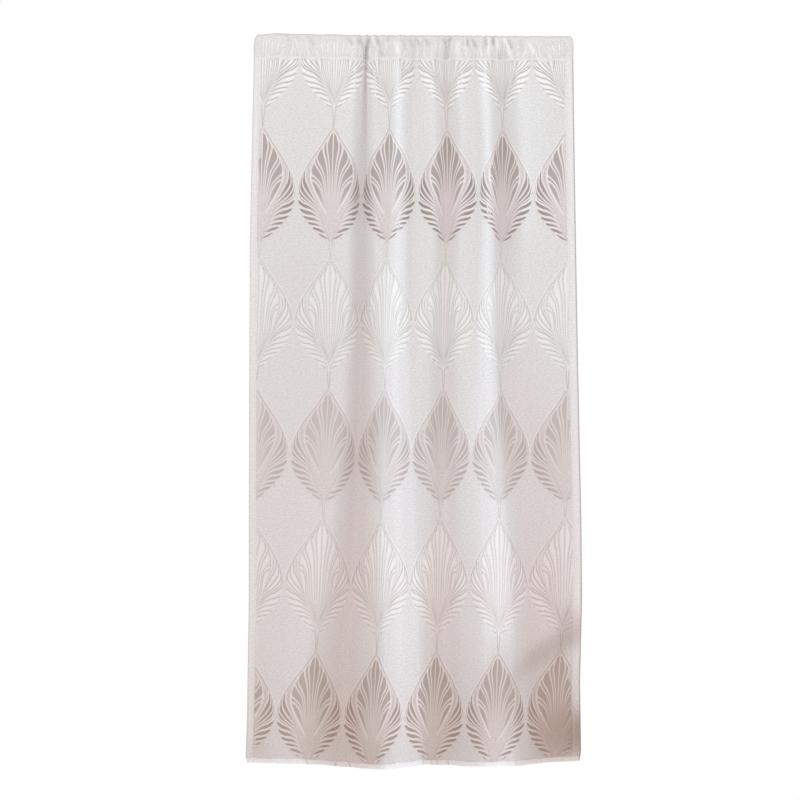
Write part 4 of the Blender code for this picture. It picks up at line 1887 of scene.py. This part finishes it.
@dataclass
class RodPocketHeading:
    """The cloth turned over the rod and stitched down: a pocket that is open at both ends."""

    drape: Drape
    colours: ClothColours
    wall: float = 1.1 * MM
    arch: float = 12 * MM
    floor: float = 53 * MM
    half_depth: float = 14 * MM
    floor_half: float = 0.3 * MM
    notch_share: float = 0.35
    gathered_step: float = 2.0 * MM
    plain_step: float = 4.0 * MM
    row_step: float = 3.1 * MM
    # painted grey shade along the fold over the rod and at the sides
    rim_shade: str = "c3c1c0"
    crease_shade: float = 0.09
    crease_shade_limits: tuple[float, float] = (-4.0, 3.0)
    # a crease rises and fades over these shares of its length, and is a little wider than written
    crease_starts: tuple[float, float] = (-0.18, 0.15)
    crease_ends: tuple[float, float] = (0.7, 1.1)
    crease_spread: float = 1.25
    # how far from the fold over the rod and from the sides the cloth takes a painted grey shade
    fold_edge: tuple[float, float] = (3 * MM, 9 * MM)
    side_edge: tuple[float, float] = (1 * MM, 4 * MM)
    # the pattern shows only faintly over two layers, and its yarns start inside the front wall
    pattern_fade: float = 0.76
    yarn_sink: float = 0.40 * MM
    # the ragged top edge has this much of the ripples at the rod
    teeth_share: float = 0.8
    arch_steps: int = 13
    # where the front and back walls come together above the stitched line
    meets_from: float = 46 * MM
    meets_at: float = 56 * MM
    crease_loss: float = 0.7
    # a wall is drawn thicker where the cloth is steep, up to this many times
    most_thick: float = 1.8

    CREASES = (
        Crease(-309, 9, -299, 22, 6, -1.2),
        Crease(-290, 9, -279, 18, 6, -1.0),
        Crease(-258, 9, -238, 34, 6, -1.5),
        Crease(-158, 10, -149, 31, 7, -1.8),
        Crease(-134, 11, -120, 36, 7, -2.4),
        Crease(-108, 9, -113, 36, 7, -2.4),
        Crease(-118, 30, -117, 66, 9, -2.4),
        Crease(-128, 28, -127, 56, 6, 1.6),
        Crease(-102, 8, -91, 30, 7, 1.6),
        Crease(-107, 36, -100, 57, 6, 1.5),
        Crease(-88, 11, -75, 56, 7, -2.4),
        Crease(-61, 7, -60, 21, 5, -2.0),
        Crease(-44, 20, -31, 58, 8, 2.2),
        Crease(-28, 11, -22, 30, 7, -1.6),
        Crease(-8, 11, 1, 34, 9, -1.8),
        Crease(7, 11, 19, 29, 6, -1.9),
        Crease(30, 12, 40, 33, 7, -2.0),
        Crease(76, 11, 83, 33, 6, -2.3),
        Crease(91, 9, 86, 33, 6, -3.2),
        Crease(85, 31, 82, 66, 7, -2.8),
        Crease(112, 20, 106, 54, 9, 1.5),
        Crease(133, 11, 137, 33, 5, -2.2),
        Crease(130, 28, 133, 58, 6, 1.7),
        Crease(145, 12, 158, 35, 6, -2.3),
        Crease(178, 10, 180, 35, 5, -2.7),
        Crease(184, 8, 187, 56, 5, 2.0),
        Crease(197, 9, 196, 29, 5, -2.8),
        Crease(204, 11, 209, 38, 5, 1.9),
        Crease(214, 42, 214, 66, 7, -1.8),
        Crease(224, 10, 243, 58, 8, 3.0),
        Crease(232, 12, 243, 34, 6, -2.0),
        Crease(262, 12, 267, 44, 8, -0.8),
        Crease(284, 20, 308, 58, 10, 2.0),
        Crease(298, 24, 315, 54, 8, -1.5),
        Crease(342, 18, 376, 56, 7, -1.0),
        Crease(358, 12, 384, 44, 6, -0.8),
    )

    def crumple(self, along: Array, drop: Array | float) -> Array:
        """How far the creases lift the front of the heading.

        Args:
            along: Places along the rod.
            drop: Their drops.

        Returns:
            The lift at each place, below zero in a trough.
        """
        lift = np.zeros(np.broadcast(along, drop).shape)
        for crease in self.CREASES:
            share = (drop / MM - crease.top_drop) / (crease.foot_drop - crease.top_drop)
            middle = crease.top_along + (crease.foot_along - crease.top_along) * np.clip(share, 0, 1)
            ends = ramp(*self.crease_starts, share) * (1 - ramp(*self.crease_ends, share))
            half_width = self.crease_spread * crease.half_width
            t = np.clip((along / MM - middle) / half_width, -1, 1)
            lift = lift + crease.rise * MM * ends * (1 - t * t) ** 2
        return lift

    def drops(self) -> Array:
        """The drops of the rows up the pocket's front wall, from the stitched line to the arch."""
        rows = round((self.drape.seam_drop - self.arch) / self.row_step)
        return np.linspace(self.drape.seam_drop, self.arch + self.row_step, rows)

    def build(self, material: bpy.types.Material) -> bpy.types.Object:
        """Makes the heading.

        Args:
            material: Its finish.

        Returns:
            The heading.
        """
        across = self.drape.columns(self.gathered_step, self.plain_step)
        mesh = SheetMesh()
        ends = {}
        for outer in (True, False):
            rings, flat = self.rings(across, outer)
            colours = self.ring_colours(rings, flat)
            if not outer:
                rings, flat, colours = (field[:, ::-1] for field in (rings, flat, colours))
            ids = mesh.add_rows(rings, flat, colours, around=True)
            ends[outer] = ids if outer else ids[:, ::-1]
        mesh.join(ends[True][0][::-1], ends[False][0][::-1])
        mesh.join(ends[True][-1], ends[False][-1])
        return mesh.make("curtain_heading", material)

    def ring_colours(self, rings: Array, flat: Array) -> Array:
        """The colours of the rings: painted shade along the fold over the rod, at the sides and in
        the creases, and painted highlight on the creases' ridges.

        Args:
            rings: The rings' points.
            flat: Where they are on the flat cloth.

        Returns:
            Their linear colours.
        """
        # the second colour is the painted grey shade along the fold over the rod and at the sides
        heading, rim = (linear(code) for code in (self.colours.heading, self.rim_shade))
        from_side = np.minimum(flat[..., 0], self.drape.flat_width - flat[..., 0])
        over_rod = 1 - ramp(*self.fold_edge, np.abs(flat[..., 1]))
        edge = np.maximum(over_rod, 1 - ramp(*self.side_edge, from_side))
        crumpled = self.crumple(rings[..., 0], flat[..., 1]) * (flat[..., 1] > 0) / MM
        # painted shade in the creases' troughs and painted highlight on their ridges
        shade = 1 + self.crease_shade * np.clip(crumpled, *self.crease_shade_limits)
        own = (heading + (rim - heading) * edge[..., None]) * shade[..., None]
        middle = rings.copy()
        middle[..., 1] = rings[..., 1].mean(axis=1, keepdims=True)
        return self.colours.on_cloth(own, middle, np.maximum(flat, 0))

    def front_cloth(self) -> HungCloth:
        """The front of the pocket as a hung cloth, for the pattern that runs on over it.

        Returns:
            The hung cloth.
        """
        across = self.drape.columns(self.gathered_step, self.plain_step)
        drops = self.drops()[::-1]
        rows = [self.rows_at(across, drop, True)[0] for drop in drops]
        points = np.array(rows) + np.array([0, self.yarn_sink, 0])
        fronts = HungCloth.facing(points)
        end = drops[-1] - HungCloth.SEAM_MARGIN
        return HungCloth(across, drops, points, fronts, drops[0], end, self.pattern_fade)

    def rings(self, across: Array, outer: bool) -> tuple[Array, Array]:
        """The rings of points around the pocket, one for each place across the cloth.

        Args:
            across: Places across the flat cloth.
            outer: True for the outside of the cloth and False for the inside of the pocket.

        Returns:
            The rings, and where their points are on the flat cloth.
        """
        drops = self.drops()
        if not outer:
            drops[0] = self.floor
        front = []
        back = []
        flat = []
        for drop in drops:
            front_row, back_row = self.rows_at(across, drop, outer)
            front.append(front_row)
            back.append(back_row)
            flat.append(np.stack([across, np.full_like(across, drop)], axis=1))
        course = self.drape.course(self.arch).at(across)
        front_at, back_at = self.walls(course, self.arch, outer)
        ripples = np.interp(across, self.drape.grid(), self.drape.ripple_line(0))
        teeth = self.teeth_share * ripples
        notch = -self.notch_share * course.puckered
        rise = self.arch - notch + teeth - (0 if outer else self.wall)
        arch = []
        arch_flat = []
        for angle in np.radians(np.linspace(0, 180, self.arch_steps)):
            drop = self.arch * (1 - math.sin(angle))
            along = self.drape.course(drop).at(across).along
            height = self.drape.height(across, self.arch) + rise * math.sin(angle)
            behind = (front_at + back_at) / 2 - (back_at - front_at) / 2 * math.cos(angle)
            behind -= self.crumple(along, drop) * max(math.cos(angle), 0)
            behind += self.crumple(along, self.arch) * (1 + math.cos(angle)) / 2
            arch.append(np.stack([along, behind, height], axis=1))
            over = self.arch * (1 - angle / (math.pi / 2))
            arch_flat.append(np.stack([across, np.full_like(across, over)], axis=1))
        around = np.array([*front, *arch, *back[::-1]])
        behind_flat = [row * np.array([1, -1]) for row in flat[::-1]]
        around_flat = np.array([*flat, *arch_flat, *behind_flat])
        return around.transpose(1, 0, 2), around_flat.transpose(1, 0, 2)

    def rows_at(self, across: Array, drop: float, outer: bool) -> tuple[Array, Array]:
        """The rows of points along the front and back walls of the pocket at a drop.

        Args:
            across: Places across the flat cloth.
            drop: The drop.
            outer: True for the outside of the cloth and False for the inside of the pocket.

        Returns:
            The front row and the back row.
        """
        course = self.drape.course(drop).at(across)
        height = self.drape.height(across, drop)
        walls = self.walls(course, drop, outer)
        front, back = (np.stack([course.along, wall, height], axis=1) for wall in walls)
        return front, back

    def walls(self, course: Course, drop: float, outer: bool) -> tuple[Array, Array]:
        """How far behind the rod's plane the front and back walls of the pocket are at a drop.

        Args:
            course: How the cloth lies at this drop.
            drop: The drop.
            outer: True for the outside of the cloth and False for the inside of the pocket.

        Returns:
            The front wall and the back wall.
        """
        middle = -course.forward
        puckers = -course.puckered
        share = max((self.floor - drop) / (self.floor - self.arch), 0)
        half = self.floor_half + (self.half_depth - self.floor_half) * share
        # the back wall puckers the other way, so that the pocket stays open for the rod
        mirrored = 2 * (1 - ramp(self.arch, self.meets_from, drop))
        steep = np.hypot(1, np.gradient(middle, course.across))
        wall = self.wall * np.minimum(steep, self.most_thick) if outer else 0
        # the creases fade towards the stitched line, where both walls meet
        fading = 1 - self.crease_loss * ramp(self.meets_from, self.meets_at, drop)
        lift = self.crumple(course.along, drop) * fading
        return middle - half - wall - lift, middle + half - mirrored * puckers + wall


@dataclass
class Stitching:
    """Lockstitch in polyester thread, each stitch a small bent bead that dips into the cloth.

    The real thread is about 0.4 mm thick. It is drawn thicker here, most so along the stitched
    line under the rod, so that it shows.
    """

    drape: Drape
    panel: CurtainPanel
    colours: ClothColours
    from_edge: float = 2.4 * MM
    seam_thickness: float = 1.8 * MM
    hem_thickness: float = 0.8 * MM
    pitch: float = 5.0 * MM
    length_share: float = 0.8
    # how far a stitch bends out of the cloth, and how thick it is along it, as shares of the thread
    lift_share: float = 0.4
    sides: int = 5

    BEAD = (0.45, 0.9, 1.0, 0.9, 0.45)

    def build(self, cloth: HungCloth, material: bpy.types.Material) -> bpy.types.Object:
        """Makes the stitches under the rod and along the hems, on both faces.

        Args:
            cloth: The hung panel.
            material: The thread's finish.

        Returns:
            The stitches.
        """
        width, length = self.drape.flat_width, self.drape.length
        top = cloth.drops[0]
        left = self.panel.left_hem - self.from_edge
        right = width - self.panel.right_hem + self.from_edge
        foot = length - self.panel.bottom_hem + self.from_edge
        white, grey = (linear(code) for code in (self.colours.thread, self.colours.hem_thread))
        mesh = SheetMesh()
        for start, end, thickness, colour in (
            ((2 * MM, top), (width - 2 * MM, top), self.seam_thickness, white),
            ((left, top + 3 * MM), (left, foot), self.hem_thickness, grey),
            ((right, top + 3 * MM), (right, foot), self.hem_thickness, grey),
            ((left, foot), (right, foot), self.hem_thickness, grey),
        ):
            steps = round(math.dist(start, end) / MM)
            across, drop = (np.linspace(start[i], end[i], steps) for i in (0, 1))
            for side in (1, -1):
                line = cloth.place(across, drop, np.full(steps, side * self.panel.half_thickness))
                out = (line - cloth.place(across, drop, np.zeros(steps))) / self.panel.half_thickness
                self.seam(mesh, line, out, thickness, colour)
        return mesh.make("hem_stitches", material)

    def seam(
        self, mesh: SheetMesh, line: Array, out: Array, thickness: float, colour: Array
    ) -> None:
        """Adds the stitches along a line that lies on the cloth.

        Args:
            mesh: The mesh that takes them.
            line: Points along the line.
            out: The direction out of the cloth at each point.
            thickness: How thick the thread is.
            colour: The thread's linear colour.
        """
        far = lengths_along(line)
        t = np.linspace(0, 1, len(self.BEAD))
        rise = np.sin(t * math.pi) * thickness * self.lift_share
        radius = (thickness / 2 * np.array(self.BEAD))[:, None]
        turns = np.arange(self.sides) * math.tau / self.sides
        for start in np.arange(0, far[-1] - self.pitch, self.pitch):
            at = start + t * self.pitch * self.length_share
            centre, normal = (read_line(at, far, field) for field in (line, out))
            along = np.gradient(centre, axis=0)
            side = np.cross(along / np.linalg.norm(along, axis=1, keepdims=True), normal)
            side /= np.linalg.norm(side, axis=1, keepdims=True)
            centre = centre + normal * rise[:, None]
            outwards = [side * math.cos(a) + normal * math.sin(a) for a in turns]
            ring = np.stack([centre + way * radius for way in outwards], axis=1)
            flat = np.zeros((*ring.shape[:2], 2))
            flat[..., 0] = at[:, None]
            mesh.add_rows(ring, flat, np.broadcast_to(colour, ring.shape), around=True, capped=True)


@dataclass
class Studio:
    """A pale floor under the curtain, a white surround, soft lights and the camera.

    The camera stands square to the curtain, level with its middle, a little to the left.
    """

    distance: float = 3.6
    frame_width: float = 1.967
    camera_x: float = -0.032
    camera_z: float = -0.899
    floor_z: float = -2.40
    floor_half: float = 1.75
    surround: float = 0.80
    surround_colour: str = "fffcfb"
    light_size: float = 2.4
    sensor: float = 36.0

    # each soft light's name, its place and its power in watts
    LIGHTS = (("left", (-2.6, -3.0, 0.4), 26), ("right", (2.6, -3.0, 0.0), 22))

    def build(self) -> None:
        """Makes the floor, the lights, the surround and the camera."""
        self.add_floor()
        for light in self.LIGHTS:
            self.add_light(*light)
        self.add_surround()
        self.add_camera()

    def add_floor(self) -> None:
        """Adds the floor, which isn't part of the object."""
        mesh = bpy.data.meshes.new("floor")
        h, z = self.floor_half, self.floor_z
        mesh.from_pydata([(-h, -h, z), (h, -h, z), (h, h, z), (-h, h, z)], [], [(0, 1, 2, 3)])
        mesh.materials.append(StudioPaper().material())
        floor = bpy.data.objects.new("floor", mesh)
        bpy.context.scene.collection.objects.link(floor)

    def add_light(self, name: str, place: tuple[float, float, float], power: float) -> None:
        """Adds a soft light that points at the middle of the curtain.

        Args:
            name: Its name.
            place: Where it stands.
            power: Its power in watts.
        """
        data = bpy.data.lights.new(name, "AREA")
        data.size = self.light_size
        data.energy = power
        light = bpy.data.objects.new(name, data)
        light.location = place
        aim = Vector((0, 0, self.camera_z)) - Vector(place)
        light.rotation_euler = aim.to_track_quat("-Z", "Y").to_euler()
        bpy.context.scene.collection.objects.link(light)

    def add_surround(self) -> None:
        """Sets the surround: pure white to look at, and softer as a light."""
        world = bpy.data.worlds.new("white_surround")
        bpy.context.scene.world = world
        world.use_nodes = True
        tree = world.node_tree
        background = tree.nodes["Background"]
        seen = add_node(tree, "ShaderNodeLightPath").outputs["Is Camera Ray"]
        strength = add_node(tree, "ShaderNodeMapRange", {0: seen, 3: self.surround, 4: 1.0})
        tones = {6: (*linear(self.surround_colour), 1), 7: (1, 1, 1, 1)}
        tint = add_node(tree, "ShaderNodeMix", {0: seen, **tones}, data_type="RGBA")
        tree.links.new(strength.outputs[0], background.inputs["Strength"])
        tree.links.new(tint.outputs[2], background.inputs["Color"])

    def add_camera(self) -> None:
        """Adds the camera. The image is square, so the lens sets both of its sides."""
        data = bpy.data.cameras.new("camera")
        data.sensor_width = self.sensor
        data.lens = self.sensor * self.distance / self.frame_width
        camera = bpy.data.objects.new("camera", data)
        camera.location = (self.camera_x, -self.distance, self.camera_z)
        camera.rotation_euler = (math.pi / 2, 0, 0)
        bpy.context.scene.collection.objects.link(camera)
        bpy.context.scene.camera = camera


def main() -> None:
    """Builds the curtain's pieces and the studio, and reports each piece."""
    logging.basicConfig(level=logging.INFO, format="%(name)s: %(message)s")
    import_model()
    bpy.context.scene.view_settings.view_transform = "Standard"
    drape = Drape()
    rows = LeafRows()
    colours = ClothColours()
    panel_maker = CurtainPanel(drape, rows, colours)
    cloth = panel_maker.hang()
    net = KnittedNet().material()
    panel = panel_maker.build(cloth, net)
    heading_maker = RodPocketHeading(drape, colours)
    heading = heading_maker.build(net)
    yarns = LeafPattern(rows, colours).build([cloth, heading_maker.front_cloth()])
    stitching = Stitching(drape, panel_maker, colours)
    yarns.append(stitching.build(cloth, LaidYarn("sewing_thread").material()))
    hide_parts("lace_panel")
    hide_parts("rod_pocket_heading")
    for piece, name in ((panel, "lace"), (heading, "heading"), *((yarn, "lace") for yarn in yarns)):
        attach(piece, "root")
        triangles = sum(len(face.vertices) - 2 for face in piece.data.polygons)
        log.info("%s: %d triangles", piece.name, triangles)
    Studio().build()


if __name__ == "__main__":
    main()
